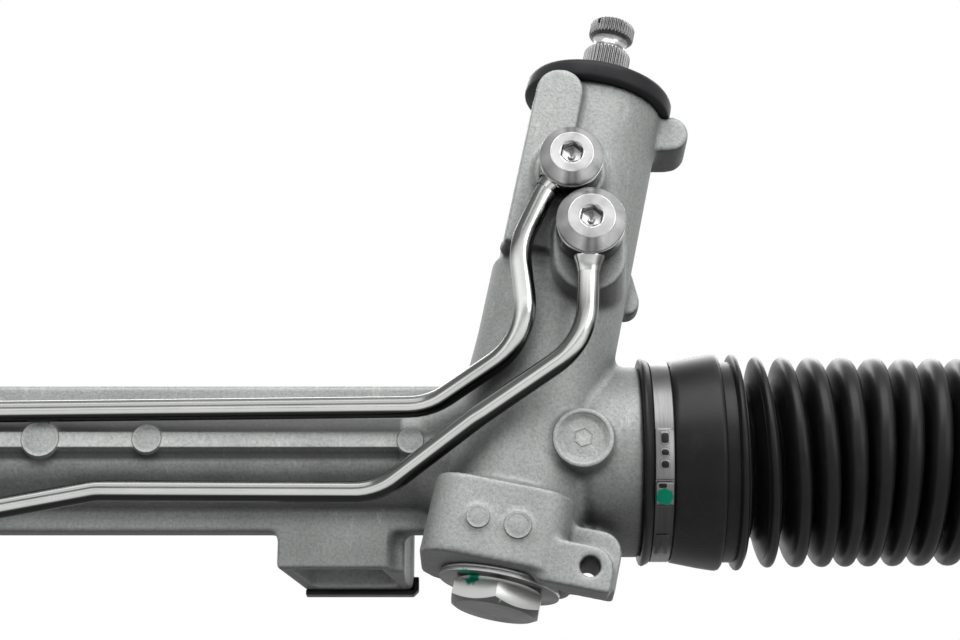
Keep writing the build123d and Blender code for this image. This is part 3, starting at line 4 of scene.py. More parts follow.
import bmesh
import bpy
import numpy as np
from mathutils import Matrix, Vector


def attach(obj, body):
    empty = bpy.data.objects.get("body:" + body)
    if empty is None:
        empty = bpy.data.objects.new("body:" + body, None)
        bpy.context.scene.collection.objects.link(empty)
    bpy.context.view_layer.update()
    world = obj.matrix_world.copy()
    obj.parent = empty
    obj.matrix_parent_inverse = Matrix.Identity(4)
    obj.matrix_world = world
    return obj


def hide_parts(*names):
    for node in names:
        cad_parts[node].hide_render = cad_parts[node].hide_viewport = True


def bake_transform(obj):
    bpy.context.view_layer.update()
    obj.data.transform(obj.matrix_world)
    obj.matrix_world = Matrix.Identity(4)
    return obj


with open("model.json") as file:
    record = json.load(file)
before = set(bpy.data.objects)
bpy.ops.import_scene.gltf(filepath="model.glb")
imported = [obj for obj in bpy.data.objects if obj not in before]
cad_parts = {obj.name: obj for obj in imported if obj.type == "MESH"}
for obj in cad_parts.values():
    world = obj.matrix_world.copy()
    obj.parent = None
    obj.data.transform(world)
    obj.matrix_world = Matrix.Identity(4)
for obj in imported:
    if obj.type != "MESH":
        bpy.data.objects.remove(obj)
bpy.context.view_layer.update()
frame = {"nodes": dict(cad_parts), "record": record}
nodes = frame["nodes"]
scene = bpy.context.scene

# Shapes are in millimetres from the rack's centre at the pinion, and at() brings them to the frame
MM = 0.001
RACK_X = 64
RACK_Y = -36
LEAN = math.radians(11.5)
SIN_LEAN = math.sin(LEAN)
COS_LEAN = math.cos(LEAN)
PINION_BACK = 15.664
MIRROR_X = -191.5


def at(x, y, z):
    return Vector((RACK_X + x, RACK_Y + y, z)) * MM


# A place by its height on the leaning tower's axis
def tower(h, side=0.0, depth=0.0):
    return at(h * SIN_LEAN + side * COS_LEAN, -PINION_BACK + depth, h * COS_LEAN - side * SIN_LEAN)


# A turning frame is an origin, the axis to turn about and two directions across it
X_AXIS = Vector((1, 0, 0))
Y_AXIS = Vector((0, 1, 0))
Z_AXIS = Vector((0, 0, 1))
TOWER_AXIS = Vector((SIN_LEAN, 0, COS_LEAN))
TOWER_SIDE = Vector((COS_LEAN, 0, -SIN_LEAN))
RACK_FRAME = (at(0, 0, 0), X_AXIS, Y_AXIS, Z_AXIS)
LEFT_FRAME = (at(2 * MIRROR_X, 0, 0), -X_AXIS, Y_AXIS, Z_AXIS)
TOWER_FRAME = (tower(0), TOWER_AXIS, TOWER_SIDE, Y_AXIS)


def front_frame(x, z):
    return (at(x, 0, z), -Y_AXIS, X_AXIS, Z_AXIS)


def grey(value):
    return (value, value, value)


def times(colour, share):
    return tuple(part * share for part in colour)


# A material in the making: methods add nodes and return their outputs, and lengths are in metres
class Nodes:
    def __init__(self, name):
        self.material = bpy.data.materials.new(name)
        self.material.use_nodes = True
        self.tree = self.material.node_tree
        self.shader = self.tree.nodes["Principled BSDF"]
        self.place = self.new("ShaderNodeTexCoord").outputs["Object"]
        self.height = None

    def new(self, kind, **values):
        node = self.tree.nodes.new(kind)
        for key, value in values.items():
            setattr(node, key, value)
        return node

    def link(self, output, socket):
        self.tree.links.new(output, socket)

    # Another node's output is linked, and anything else is set as a constant
    def put(self, value, socket):
        if isinstance(value, bpy.types.NodeSocket):
            self.link(value, socket)
        else:
            socket.default_value = (*value, 1.0) if isinstance(value, tuple) else value

    def noise(self, scale, detail=3.0, rough=0.55, stretch=None):
        node = self.new("ShaderNodeTexNoise")
        node.inputs["Scale"].default_value = scale
        node.inputs["Detail"].default_value = detail
        node.inputs["Roughness"].default_value = rough
        place = self.place
        if stretch:
            mapping = self.new("ShaderNodeMapping")
            mapping.inputs["Scale"].default_value = stretch
            self.link(place, mapping.inputs["Vector"])
            place = mapping.outputs["Vector"]
        self.link(place, node.inputs["Vector"])
        return node.outputs["Fac"]

    def cells(self, scale):
        node = self.new("ShaderNodeTexVoronoi")
        node.inputs["Scale"].default_value = scale
        self.link(self.place, node.inputs["Vector"])
        return node.outputs["Distance"]

    # Stops are (place on the ramp, colour)
    def ramp(self, source, stops):
        node = self.new("ShaderNodeValToRGB")
        ramp = node.color_ramp
        while len(ramp.elements) < len(stops):
            ramp.elements.new(0.5)
        for element, (place, colour) in zip(ramp.elements, stops):
            element.position = place
            element.color = (*colour, 1.0)
        self.link(source, node.inputs["Fac"])
        return node.outputs["Color"]

    # The same with greys, given as (place on the ramp, value)
    def shades(self, source, stops):
        return self.ramp(source, [(place, grey(value)) for place, value in stops])

    def values(self, source, low, high, start=0.3, end=0.7):
        node = self.new("ShaderNodeMapRange")
        for key, value in (("From Min", start), ("From Max", end), ("To Min", low), ("To Max", high)):
            node.inputs[key].default_value = value
        self.link(source, node.inputs["Value"])
        return node.outputs["Result"]

    def mix(self, share, a, b, blend="MIX"):
        node = self.new("ShaderNodeMix", data_type="RGBA", blend_type=blend)
        factor, first, second = (node.inputs[k] for k in (0, 6, 7))
        self.put(share, factor)
        self.put(a, first)
        self.put(b, second)
        return node.outputs[2]

    # The colour times a shade that follows the source
    def toned(self, colour, source, stops, share=1.0):
        return self.mix(share, colour, self.shades(source, stops), "MULTIPLY")

    # Every bump is laid over the ones before it
    def bump(self, source, strength, distance):
        node = self.new("ShaderNodeBump")
        node.inputs["Strength"].default_value = strength
        node.inputs["Distance"].default_value = distance
        self.link(source, node.inputs["Height"])
        if self.height:
            self.link(self.height, node.inputs["Normal"])
        self.height = node.outputs["Normal"]

    # Component of the surface normal along a world axis, brought to 0..1
    def facing(self, axis):
        parts = self.new("ShaderNodeSeparateXYZ")
        self.link(self.new("ShaderNodeNewGeometry").outputs["Normal"], parts.inputs[0])
        return self.values(parts.outputs[axis], 0.0, 1.0, -1.0, 1.0)

    # Ambient occlusion, which the materials turn into painted shade in hollows
    def hollow_shade(self, distance):
        node = self.new("ShaderNodeAmbientOcclusion")
        node.samples = 8
        node.inputs["Distance"].default_value = distance
        return node.outputs["AO"]

    def calculate(self, operation, *values):
        node = self.new("ShaderNodeMath", operation=operation)
        for value, socket in zip(values, node.inputs):
            self.put(value, socket)
        return node.outputs["Value"]

    # 1 inside a box with soft sides, 0 outside
    def zone(self, low, high, soft):
        parts = self.new("ShaderNodeSeparateXYZ")
        self.link(self.place, parts.inputs[0])
        shares = []
        for k in range(3):
            away = self.calculate("SUBTRACT", parts.outputs[k], (low[k] + high[k]) / 2)
            half = (high[k] - low[k]) / 2
            shares.append(self.values(self.calculate("ABSOLUTE", away), 1.0, 0.0, half - soft, half))
        return self.calculate("MULTIPLY", self.calculate("MULTIPLY", shares[0], shares[1]), shares[2])

    # 1 inside a rough-edged ball, 0 outside
    def blob(self, centre, radius, ragged):
        distance = self.new("ShaderNodeVectorMath", operation="DISTANCE")
        self.link(self.place, distance.inputs[0])
        distance.inputs[1].default_value = centre
        away = distance.outputs["Value"]
        reach = self.calculate("MULTIPLY_ADD", self.noise(420, 2.0), radius * ragged, away)
        return self.values(reach, 1.0, 0.0, radius * 1.05, radius * 1.2)

    def done(self, colour, rough, metallic, **sockets):
        inputs = self.shader.inputs
        self.put(colour, inputs["Base Color"])
        self.put(rough, inputs["Roughness"])
        inputs["Metallic"].default_value = metallic
        for key, value in sockets.items():
            inputs[key.replace("_", " ")].default_value = value
        if self.height:
            self.link(self.height, inputs["Normal"])
        return self.material


# Cast aluminium
CAST_DARK = (0.275, 0.285, 0.278)
CAST_PALE = (0.365, 0.378, 0.368)
# Colour of the painted shadow, and how soft its sides are
PAINTED_SHADOW_COLOUR = (0.02, 0.021, 0.02)
PAINTED_SHADOW_SOFT = 1.6 * MM

# Painted shadow above and below the long rib, where the pipe and the rib shade the tube: two corners of a
# box and how much of it covers
RIB_PAINTED_SHADOWS = (((-214, -40, 5.0), (-46, -12, 13.5), 0.75), ((-214, -40, -5.6), (-46, -12, -0.6), 0.82))


def cast_material(name, bright, painted_shadows=()):
    m = Nodes(name)
    mottle = m.noise(38, 4.0, 0.6)
    grain = m.noise(900, 3.0, 0.7)
    speck = m.noise(1900, 1.0, 0.5)
    scuff = m.noise(240, 4.0, 0.7, (1.0, 0.6, 0.25))
    edge = m.new("ShaderNodeNewGeometry").outputs["Pointiness"]
    # bright scales the whole colour; above 1 it makes a copy painted as more lit
    colour = m.ramp(mottle, ((0.3, times(CAST_DARK, bright)), (0.7, times(CAST_PALE, bright))))
    colour = m.toned(colour, grain, ((0.3, 0.70), (0.52, 1.0), (0.75, 1.18)), 0.85)
    colour = m.toned(colour, speck, ((0.24, 0.5), (0.33, 1.0)), 0.6)
    colour = m.toned(colour, scuff, ((0.60, 1.0), (0.72, 1.45)), 0.7)
    # Brighter on sharp outer edges, as rubbed metal, and painted shade: darker in inner corners
    colour = m.toned(colour, edge, ((0.40, 0.45), (0.485, 0.95), (0.52, 1.0), (0.60, 1.5)), 0.8)
    # Painted shade: darker where the surface faces down
    colour = m.toned(colour, m.facing("Z"), ((0.02, 0.30), (0.14, 0.42), (0.30, 0.80), (0.42, 1.0)))
    # Painted shade: darker in hollows and under parts that lie close
    colour = m.toned(colour, m.hollow_shade(0.012), ((0.20, 0.10), (0.50, 0.45), (0.75, 0.93), (0.90, 1.0)))
    # Painted shadow: dark boxes where the pipe and the rib shade the tube
    for low, high, share in painted_shadows:
        shadow_share = m.shades(m.zone(at(*low), at(*high), PAINTED_SHADOW_SOFT), ((0.0, 0.0), (1.0, share)))
        colour = m.mix(shadow_share, colour, PAINTED_SHADOW_COLOUR)
    m.bump(m.noise(130, 3.0, 0.6), 0.22, 0.0006)
    m.bump(grain, 0.45, 0.00025)
    m.bump(m.cells(1500), 0.15, 0.00015)
    return m.done(colour, m.values(mottle, 0.46, 0.60), 0.45, Specular_IOR_Level=0.5)


# Steel and bronze with fine machining lines, which run across the stretched directions
def machined_material(name, value, rough, stretch):
    m = Nodes(name)
    lines = m.noise(60, 3.0, 0.6, stretch)
    colour = m.shades(lines, ((0.3, value * 0.86), (0.7, value * 1.08)))
    m.bump(lines, 0.12, 0.0001)
    return m.done(colour, m.values(m.noise(30, 3.0), rough * 0.8, rough * 1.25), 1.0)


# Painted light over the component of the normal along the world's Z: painted shade on undersides, painted
# highlights and reflection bands on fronts
PIPE_PAINTED_LIGHT_Z = ((0.02, 0.03), (0.16, 0.03), (0.20, 0.10), (0.245, 0.9), (0.42, 1.0), (0.48, 0.45),
              (0.52, 0.14), (0.66, 0.11), (0.74, 0.22), (0.82, 0.24), (0.92, 0.10))
STRIP_PAINTED_LIGHT_Z = ((0.0, 0.8), (0.012, 0.5), (0.03, 0.20), (0.17, 0.24), (0.21, 0.85), (0.40, 1.0),
               (0.50, 0.7), (0.60, 0.50), (0.80, 0.45))
CAP_PAINTED_LIGHT_Z = ((0.02, 0.15), (0.12, 0.22), (0.30, 0.85), (0.45, 1.0))
BOLT_PAINTED_LIGHT_Z = ((0.10, 0.8), (0.45, 1.0), (0.56, 0.80), (0.80, 0.6))

# The same painted light along the world's X
PIPE_PAINTED_LIGHT_X = ((0.06, 0.45), (0.25, 1.0), (0.72, 1.0), (0.86, 0.14))
BOLT_PAINTED_LIGHT_X = ((0.15, 0.45), (0.30, 0.9), (0.38, 1.25), (0.455, 0.45), (0.50, 0.72), (0.545, 0.50),
              (0.62, 1.35), (0.75, 1.2), (0.88, 0.7))

# Dabs of green paint: centre, radius in metres and how ragged the edge is
CAP_DAB = (tower(-54, -11, -15), 4.5 * MM, 0.5)
CLAMP_DAB = (at(49.4, -33.0, -22.8), 4.4 * MM, 0.7)
CAP_GREEN = (0.01, 0.20, 0.13)
CLAMP_GREEN = (0.008, 0.22, 0.13)


def zinc_material(name, low, high, rough, painted_light_z=(), painted_light_x=(), dab=None):
    m = Nodes(name)
    cloud = m.noise(55, 4.0, 0.6)
    colour = m.ramp(cloud, ((0.28, (low * 0.98, low, low * 0.98)), (0.75, (high * 0.99, high, high * 0.98))))
    # Painted light and shade by which way the surface faces
    for axis, stops in (("Z", painted_light_z), ("X", painted_light_x)):
        if stops:
            colour = m.toned(colour, m.facing(axis), stops)
    dull = m.values(cloud, rough * 0.75, rough * 1.25)
    m.bump(m.noise(700, 2.0, 0.6), 0.06, 0.00006)
    m.bump(cloud, 0.05, 0.0004)
    if dab:
        paint = m.blob(*dab)
        colour = m.mix(paint, colour, CAP_GREEN)
        dull = m.mix(paint, dull, grey(0.45))
    return m.done(colour, dull, 1.0)


# Turned zinc with its gloss drawn out across the turning marks
def turned_material(name, value, rough, painted_light_z, painted_light_x):
    m = Nodes(name)
    mottle = m.noise(160, 3.0, 0.6)
    colour = m.shades(mottle, ((0.3, value * 0.82), (0.7, value * 1.1)))
    # Painted highlights and shade by which way the surface faces
    for axis, stops in (("Z", painted_light_z), ("X", painted_light_x)):
        colour = m.toned(colour, m.facing(axis), stops)
    # Painted shade: darker in hollows such as the socket
    colour = m.toned(colour, m.hollow_shade(0.004), ((0.2, 0.12), (0.6, 0.6), (0.9, 1.0)))
    around = m.new("ShaderNodeTangent", direction_type="RADIAL", axis="Y")
    m.link(around.outputs["Tangent"], m.shader.inputs["Tangent"])
    m.bump(mottle, 0.05, 0.0001)
    return m.done(colour, m.values(mottle, rough * 0.85, rough * 1.2), 1.0, Anisotropic=0.6)


# Rolled strip of the band clamps
def strip_material(name, dab=None):
    m = Nodes(name)
    lines = m.noise(90, 3.0, 0.6, (40, 1, 1))
    colour = m.shades(lines, ((0.3, 0.22), (0.7, 0.31)))
    m.bump(lines, 0.08, 0.0001)
    # Painted light and shade by how far the surface faces up
    colour = m.toned(colour, m.facing("Z"), STRIP_PAINTED_LIGHT_Z)
    if dab:
        colour = m.mix(m.blob(*dab), colour, CLAMP_GREEN)
    return m.done(colour, m.values(m.noise(45, 3.0), 0.30, 0.42), 1.0)


# Black rubber with a haze of dust
def rubber_material(name):
    m = Nodes(name)
    cloud = m.noise(26, 4.0, 0.65)
    colour = m.ramp(cloud, ((0.3, (0.006, 0.006, 0.007)), (0.7, (0.012, 0.012, 0.013))))
    haze = m.values(m.noise(95, 5.0, 0.7), 0.0, 0.25, 0.52, 0.75)
    colour = m.mix(haze, colour, (0.035, 0.036, 0.038))
    m.bump(m.noise(600, 3.0), 0.10, 0.0001)
    m.bump(cloud, 0.1, 0.0005)
    return m.done(colour, m.values(cloud, 0.30, 0.42), 0.0, Specular_IOR_Level=0.20)


def plastic_material(name, low, high, rough):
    m = Nodes(name)
    cloud = m.noise(60, 3.0)
    colour = m.ramp(cloud, ((0.3, low), (0.7, high)))
    m.bump(m.noise(900, 2.0), 0.06, 0.0001)
    return m.done(colour, m.values(cloud, rough * 0.85, rough * 1.2), 0.0, Specular_IOR_Level=0.15)


CAST = cast_material("cast_aluminium", 1.0, RIB_PAINTED_SHADOWS)
# Painted light: a brighter copy for the rib's front and its pads, as if lit more
CAST_LIT = cast_material("cast_aluminium_lit", 1.2)
STEEL = machined_material("satin_steel", 0.50, 0.30, (60, 60, 1))
DARK_STEEL = machined_material("oiled_steel", 0.16, 0.36, (40, 1, 1))
SPLINE = machined_material("phosphated_steel", 0.16, 0.36, (60, 60, 1))
BRONZE = machined_material("sintered_bronze", 0.4, 0.45, (1, 1, 1))
ZINC = zinc_material("bright_zinc", 0.44, 0.60, 0.22)
PIPE_ZINC = zinc_material("pipe_zinc", 0.87, 0.96, 0.20, PIPE_PAINTED_LIGHT_Z, PIPE_PAINTED_LIGHT_X)
CAP_ZINC = zinc_material("cap_zinc", 0.58, 0.68, 0.36, CAP_PAINTED_LIGHT_Z, dab=CAP_DAB)
BOLT = turned_material("turned_zinc", 0.62, 0.30, BOLT_PAINTED_LIGHT_Z, BOLT_PAINTED_LIGHT_X)
STAINLESS = strip_material("rolled_stainless")
CLAMP_STEEL = strip_material("clamp_stainless", CLAMP_DAB)
RUBBER = rubber_material("black_rubber")
BLACK = plastic_material("black_plastic", (0.012, 0.012, 0.013), (0.022, 0.022, 0.024), 0.36)
PALE = plastic_material("pale_plastic", (0.62, 0.60, 0.54), (0.72, 0.70, 0.64), 0.45)
SEAL = plastic_material("seal_rubber", (0.05, 0.028, 0.016), (0.075, 0.042, 0.026), 0.5)

# Every CAD node gets its slot's material, also where a piece below stands for it
SLOT_MATERIAL = {"cast": CAST, "steel": STEEL, "dark_steel": DARK_STEEL, "zinc": ZINC,
                 "stainless": STAINLESS, "bronze": BRONZE, "rubber": RUBBER, "plastic": BLACK,
                 "pale_plastic": PALE, "seal": SEAL}
SLOT_OF = {row["node"]: row["material_slot"] for row in frame["record"]["subparts"]}
BODY_OF = {}
for body, members in frame["record"]["behaviour"]["bodies"].items():
    for member in members:
        BODY_OF[member] = body

for name, obj in nodes.items():
    obj.data.materials.clear()
    obj.data.materials.append(SLOT_MATERIAL[SLOT_OF[name]])


def stand_for(obj, node):
    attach(obj, BODY_OF[node])
    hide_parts(node)


def add_object(name, mesh):
    obj = bpy.data.objects.new(name, mesh)
    scene.collection.objects.link(obj)
    return obj


def smooth_but_for_edges(mesh, sharp):
    mesh.shade_smooth()
    mesh.set_sharp_from_angle(angle=math.radians(sharp))


# A new object from an edited mesh, which is freed
def from_edit(name, bm):
    mesh = bpy.data.meshes.new(name)
    bm.to_mesh(mesh)
    bm.free()
    return add_object(name, mesh)


# A new object from vertices and faces, with its faces turned outward where it is a closed one
def make(name, verts, faces, material, sharp=40, closed=True):
    mesh = bpy.data.meshes.new(name)
    mesh.from_pydata(verts, [], faces)
    mesh.update()
    if closed:
        bm = bmesh.new()
        bm.from_mesh(mesh)
        bmesh.ops.recalc_face_normals(bm, faces=bm.faces)
        bm.to_mesh(mesh)
        bm.free()
    smooth_but_for_edges(mesh, sharp)
    mesh.materials.append(material)
    return add_object(name, mesh)


# Mesh turned about an axis, from rows of place, radius (0 for a point) and what shape() also needs
def lathe(name, place, rows, material, count, shape=None, closed=False, sharp=40):
    origin, axis, side, up = place
    flip = axis.dot(side.cross(up)) < 0
    verts = []
    rings = []
    for row in rows:
        s, r = row[0], row[1]
        if not r:
            rings.append([len(verts)])
            verts.append(origin + axis * (s * MM))
            continue
        ring = []
        for k in range(count):
            angle = 2 * math.pi * k / count
            radius = shape(row, angle) if shape else r
            ring.append(len(verts))
            verts.append(origin + (axis * s + (side * math.cos(angle) + up * math.sin(angle)) * radius) * MM)
        rings.append(ring)
    pairs = list(zip(rings, rings[1:]))
    if closed:
        pairs.append((rings[-1], rings[0]))
    faces = []
    for a, b in pairs:
        for k in range(count):
            j = (k + 1) % count
            if len(a) == 1:
                face = (a[0], b[j], b[k])
            elif len(b) == 1:
                face = (a[k], a[j], b[0])
            else:
                face = (a[k], a[j], b[j], b[k])
            faces.append(face[::-1] if flip else face)
    return make(name, verts, faces, material, sharp)


# Several objects made into one that stands for a node
def join(parts, name, node):
    bm = bmesh.new()
    for part in parts:
        bm.from_mesh(part.data)
    obj = from_edit(name, bm)
    obj.data.materials.append(parts[0].data.materials[0])
    for part in parts:
        bpy.data.objects.remove(part)
    stand_for(obj, node)


# The CAD mesh of a node, with the doubled vertices of its edges made one
def welded(node):
    bm = bmesh.new()
    bm.from_mesh(nodes[node].data)
    bmesh.ops.remove_doubles(bm, verts=bm.verts, dist=2e-6)
    return bm


# Rounded copy of a CAD node, standing for it
BENT_EDGE = math.radians(28)


def dress(node, bevel, material=None):
    bm = welded(node)
    bmesh.ops.dissolve_limit(bm, angle_limit=math.radians(0.6), verts=bm.verts, edges=bm.edges)
    edges = [e for e in bm.edges if len(e.link_faces) == 2 and e.calc_face_angle(0) > BENT_EDGE]
    bmesh.ops.bevel(bm, geom=edges, offset=bevel * MM, offset_type="OFFSET", segments=2, profile=0.5,
                    clamp_overlap=True, affect="EDGES")
    obj = from_edit(node + "_look", bm)
    smooth_but_for_edges(obj.data, 38)
    obj.data.materials.append(material or SLOT_MATERIAL[SLOT_OF[node]])
    stand_for(obj, node)
    return obj


# Lumps and dimples of the casting: place, radius and height
DENTS = (((-10.2, -36.5, 72.5), 5.5, 1.6), ((43.0, -21.5, 116.0), 5.0, -2.2),
         ((19.4, -45.0, -21.5), 3.2, -1.2), ((24.0, -43.0, -28.5), 3.4, -1.3),
         ((-60, -6, 36), 6.0, -0.8), ((10, 20, -24), 7.0, 0.9))


def dent(mesh):
    places = np.empty((len(mesh.vertices), 3))
    normals = np.empty((len(mesh.vertices), 3))
    mesh.vertices.foreach_get("co", places.ravel())
    mesh.vertices.foreach_get("normal", normals.ravel())
    for centre, radius, height in DENTS:
        away = np.linalg.norm(places - np.array(at(*centre)), axis=1) / (radius * MM)
        share = np.clip(1 - away ** 2, 0, 1) ** 2
        places += normals * (share * height * MM)[:, None]
    mesh.vertices.foreach_set("co", places.ravel())
    mesh.update()


# The casting: grown and shrunk again, which gives its inner corners fillets, then smoothed
VOXEL = 0.75 * MM
CASTING_FILLET = 1.7 * MM


def voxel_remesh(obj, name):
    remesh = obj.modifiers.new(name, "REMESH")
    remesh.mode = "VOXEL"
    remesh.voxel_size = VOXEL


def casting():
    obj = from_edit("casting", welded("rack_housing"))
    for step, strength in enumerate((CASTING_FILLET, -CASTING_FILLET)):
        voxel_remesh(obj, "voxels" + str(step))
        grow = obj.modifiers.new("grow" + str(step), "DISPLACE")
        grow.strength = strength
        grow.mid_level = 0
    voxel_remesh(obj, "voxels2")
    smooth = obj.modifiers.new("smooth", "SMOOTH")
    smooth.factor = 0.5
    smooth.iterations = 3
    graph = bpy.context.evaluated_depsgraph_get()
    mesh = bpy.data.meshes.new_from_object(obj.evaluated_get(graph))
    obj.modifiers.clear()
    obj.data = mesh
    dent(mesh)
    mesh.materials.append(CAST)
    mesh.shade_smooth()
    stand_for(obj, "rack_housing")


casting()

# Input shaft with two splined lengths and a notch; a row's third value is the splines' depth
SPLINE_TEETH = 36
SPLINE_BASE = 151
GROOVE = (168.2, 174.0)
SPLINE_TOP = 180.7
NOTCH_LOW = 178.5
NOTCH_ANGLE = 3.95
NOTCH_HALF = 0.09
NOTCH_DEEP = 2.2


def spline_radius(row, angle):
    h, r, depth = row
    if not depth:
        return r
    if h > NOTCH_LOW and abs(angle - NOTCH_ANGLE) < NOTCH_HALF:
        return r - NOTCH_DEEP
    wave = abs(((angle * SPLINE_TEETH / (2 * math.pi)) % 1.0) - 0.5) * 2
    return r - depth * min(1.0, max(0.0, 1.6 * wave - 0.3))


def input_shaft():
    rows = [(60.5, 0, 0), (60.5, 11, 0), (142, 11, 0), (143, 9.9, 0), (151, 9.9, 0), (152, 9.3, 0),
            (152.01, 9.3, 0.85), (166.8, 9.3, 0.85), (167.9, 8.9, 0.6), (168.8, 7.9, 0), (169.4, 6.9, 0),
            (170.4, 6.3, 0), (171.6, 6.1, 0), (172.8, 6.3, 0), (173.8, 7.0, 0), (174.4, 8.0, 0),
            (174.9, 8.6, 0.3), (175.3, 8.9, 0.8), (178, 8.9, 0.8), (178.6, 8.9, 0.8), (179.8, 8.9, 0.8),
            (180.6, 8.4, 0.4), (181, 7.6, 0), (181, 3.2, 0), (179.2, 2.0, 0), (179.2, 0, 0)]
    obj = lathe("input_shaft_splined", TOWER_FRAME, rows, SPLINE, 8 * SPLINE_TEETH, spline_radius, sharp=30)
    obj.data.materials.append(STEEL)
    for face in obj.data.polygons:
        h = (face.center - tower(0)).dot(TOWER_AXIS) / MM
        bare = h < SPLINE_BASE or GROOVE[0] < h < GROOVE[1] or h > SPLINE_TOP
        face.material_index = int(bare)
    stand_for(obj, "input_shaft")


input_shaft()


# Dust cap with a soft rim
def dust_cap():
    rows = [(149.4, 10.0), (150.3, 10.0), (150.7, 12), (151, 15), (151, 25.8), (150.7, 27.2), (150.1, 28.3),
            (149.0, 28.9), (148.0, 29.0), (144.2, 29.0), (143.5, 28.8), (143.0, 28.2), (143.0, 17),
            (147.3, 17), (149.0, 12)]
    stand_for(lathe("dust_cap_look", TOWER_FRAME, rows, BLACK, 128, closed=True), "dust_cap")


dust_cap()


# A row's third value says how much of a hexagon the turned shape is there
HEXAGON_TURN = 0.2


def hexed_radius(row, angle):
    s, r, hexed = row
    if not hexed:
        return r
    across = (angle + HEXAGON_TURN + math.pi / 6) % (math.pi / 3) - math.pi / 6
    return r * (1 - hexed) + r / math.cos(across) * hexed


# Banjo bolts: bevelled round heads with turning marks and a hexagon socket
BANJO_PLACES = ((16.2, 98.7), (22.8, 71.9))
BANJO_SEATS = (-49.5, -53.0)
BANJO_HEAD_RADII = (11.8, 12.7)
WASHER_THICK = 1.0
EYE_THICK = 9.5
SHANK_LONG = 10
HEAD_HIGH = 5.86
DISC_SHARE = 0.68
SOCKET_RIM_R = 4.6
MARK_STEP = 0.17
MARK_DEEP = 0.006


def banjo_bolt(x, z, seat, r):
    low = -seat + 2 * WASHER_THICK + EYE_THICK
    top = low + HEAD_HIGH
    disc = DISC_SHARE * r
    rows = [(-seat - SHANK_LONG, 0, 0), (-seat - SHANK_LONG, 5.9, 0), (low, 6.0, 0), (low, r - 0.5, 0),
            (low + 0.4, r - 0.1, 0), (low + 0.9, r, 0), (low + 1.2, r - 0.6, 0), (low + 1.5, r - 0.6, 0),
            (low + 1.8, r - 0.05, 0), (low + 2.2, r, 0), (low + 2.6, r - 0.2, 0), (low + 3.0, r - 0.6, 0),
            (low + 5.3, disc + 0.6, 0), (low + 5.6, disc + 0.15, 0)]
    for k in range(int((disc - SOCKET_RIM_R) / MARK_STEP)):
        rows.append((top + MARK_DEEP * (k % 2), disc - 0.1 - MARK_STEP * k, 0))
    rows += [(top, 4.35, 0), (low + 5.7, 4.1, 0.3), (low + 5.3, 3.6, 1), (low + 2.0, 3.55, 1),
             (low + 1.8, 3.3, 1), (low + 1.8, 1.9, 0), (low + 1.2, 1.0, 0), (low + 0.9, 0, 0)]
    obj = lathe("banjo_head", front_frame(x, z), rows, BOLT, 120, hexed_radius, sharp=50)
    stand_for(obj, "banjo_bolts")


for (x, z), seat, r in zip(BANJO_PLACES, BANJO_SEATS, BANJO_HEAD_RADII):
    banjo_bolt(x, z, seat, r)

# Bellows: a collar on the housing, folds that taper a little, and a small cuff on the rod
SEAT_R = 34.0
CYLINDER_R = 24.0
CUFF_WALL = 3.0
BELLOWS_PEAK_R = 40.0
BELLOWS_VALLEY_R = 25.0
BELLOWS_TURNS = 15
FOLD_PITCH = 10.4
FOLD_TAPER = 0.1
FIRST_FOLD_X = 78.5
FOLDS_END_X = FIRST_FOLD_X + BELLOWS_TURNS * FOLD_PITCH
CUFF_X = FOLDS_END_X + 3
ROD_CUFF_R = 9.5
ROD_CUFF_BORE_R = 7.6
CREST_WALL = 3
VALLEY_WALL = 2.6

# How wide the crest of each fold is, as a share of the usual
FOLD_WIDTHS = (0.48, 0.55, 0.78, 0.95) + (1.0,) * (BELLOWS_TURNS - 4)

# Half a crest and half a valley, as steps along and out from their middle
CREST = ((-4.1, -7.5), (-3.95, -5.2), (-3.6, -3.4), (-3.0, -1.8), (-2.2, -0.7), (-1.2, -0.15), (0, 0))
VALLEY = ((-1.0, 4.5), (-0.8, 1.4), (-0.4, 0.3), (0, 0))

# The bellows are two pieces: one from the housing, the other on to the rod
INNER_FOLDS = 8
SPLIT_X = FIRST_FOLD_X + (INNER_FOLDS - 0.5) * FOLD_PITCH
SPLIT_SLACK = 0.01


def mirrored(points):
    return list(points) + [(-a, b) for a, b in reversed(points[:-1])]


def fold_x(fold):
    return FIRST_FOLD_X + fold * FOLD_PITCH


def crest_radius(fold, seat):
    return max(BELLOWS_PEAK_R, seat + 7) if fold == 0 else BELLOWS_PEAK_R - FOLD_TAPER * fold


def valley_radius(fold):
    return BELLOWS_VALLEY_R - FOLD_TAPER / 2 * fold


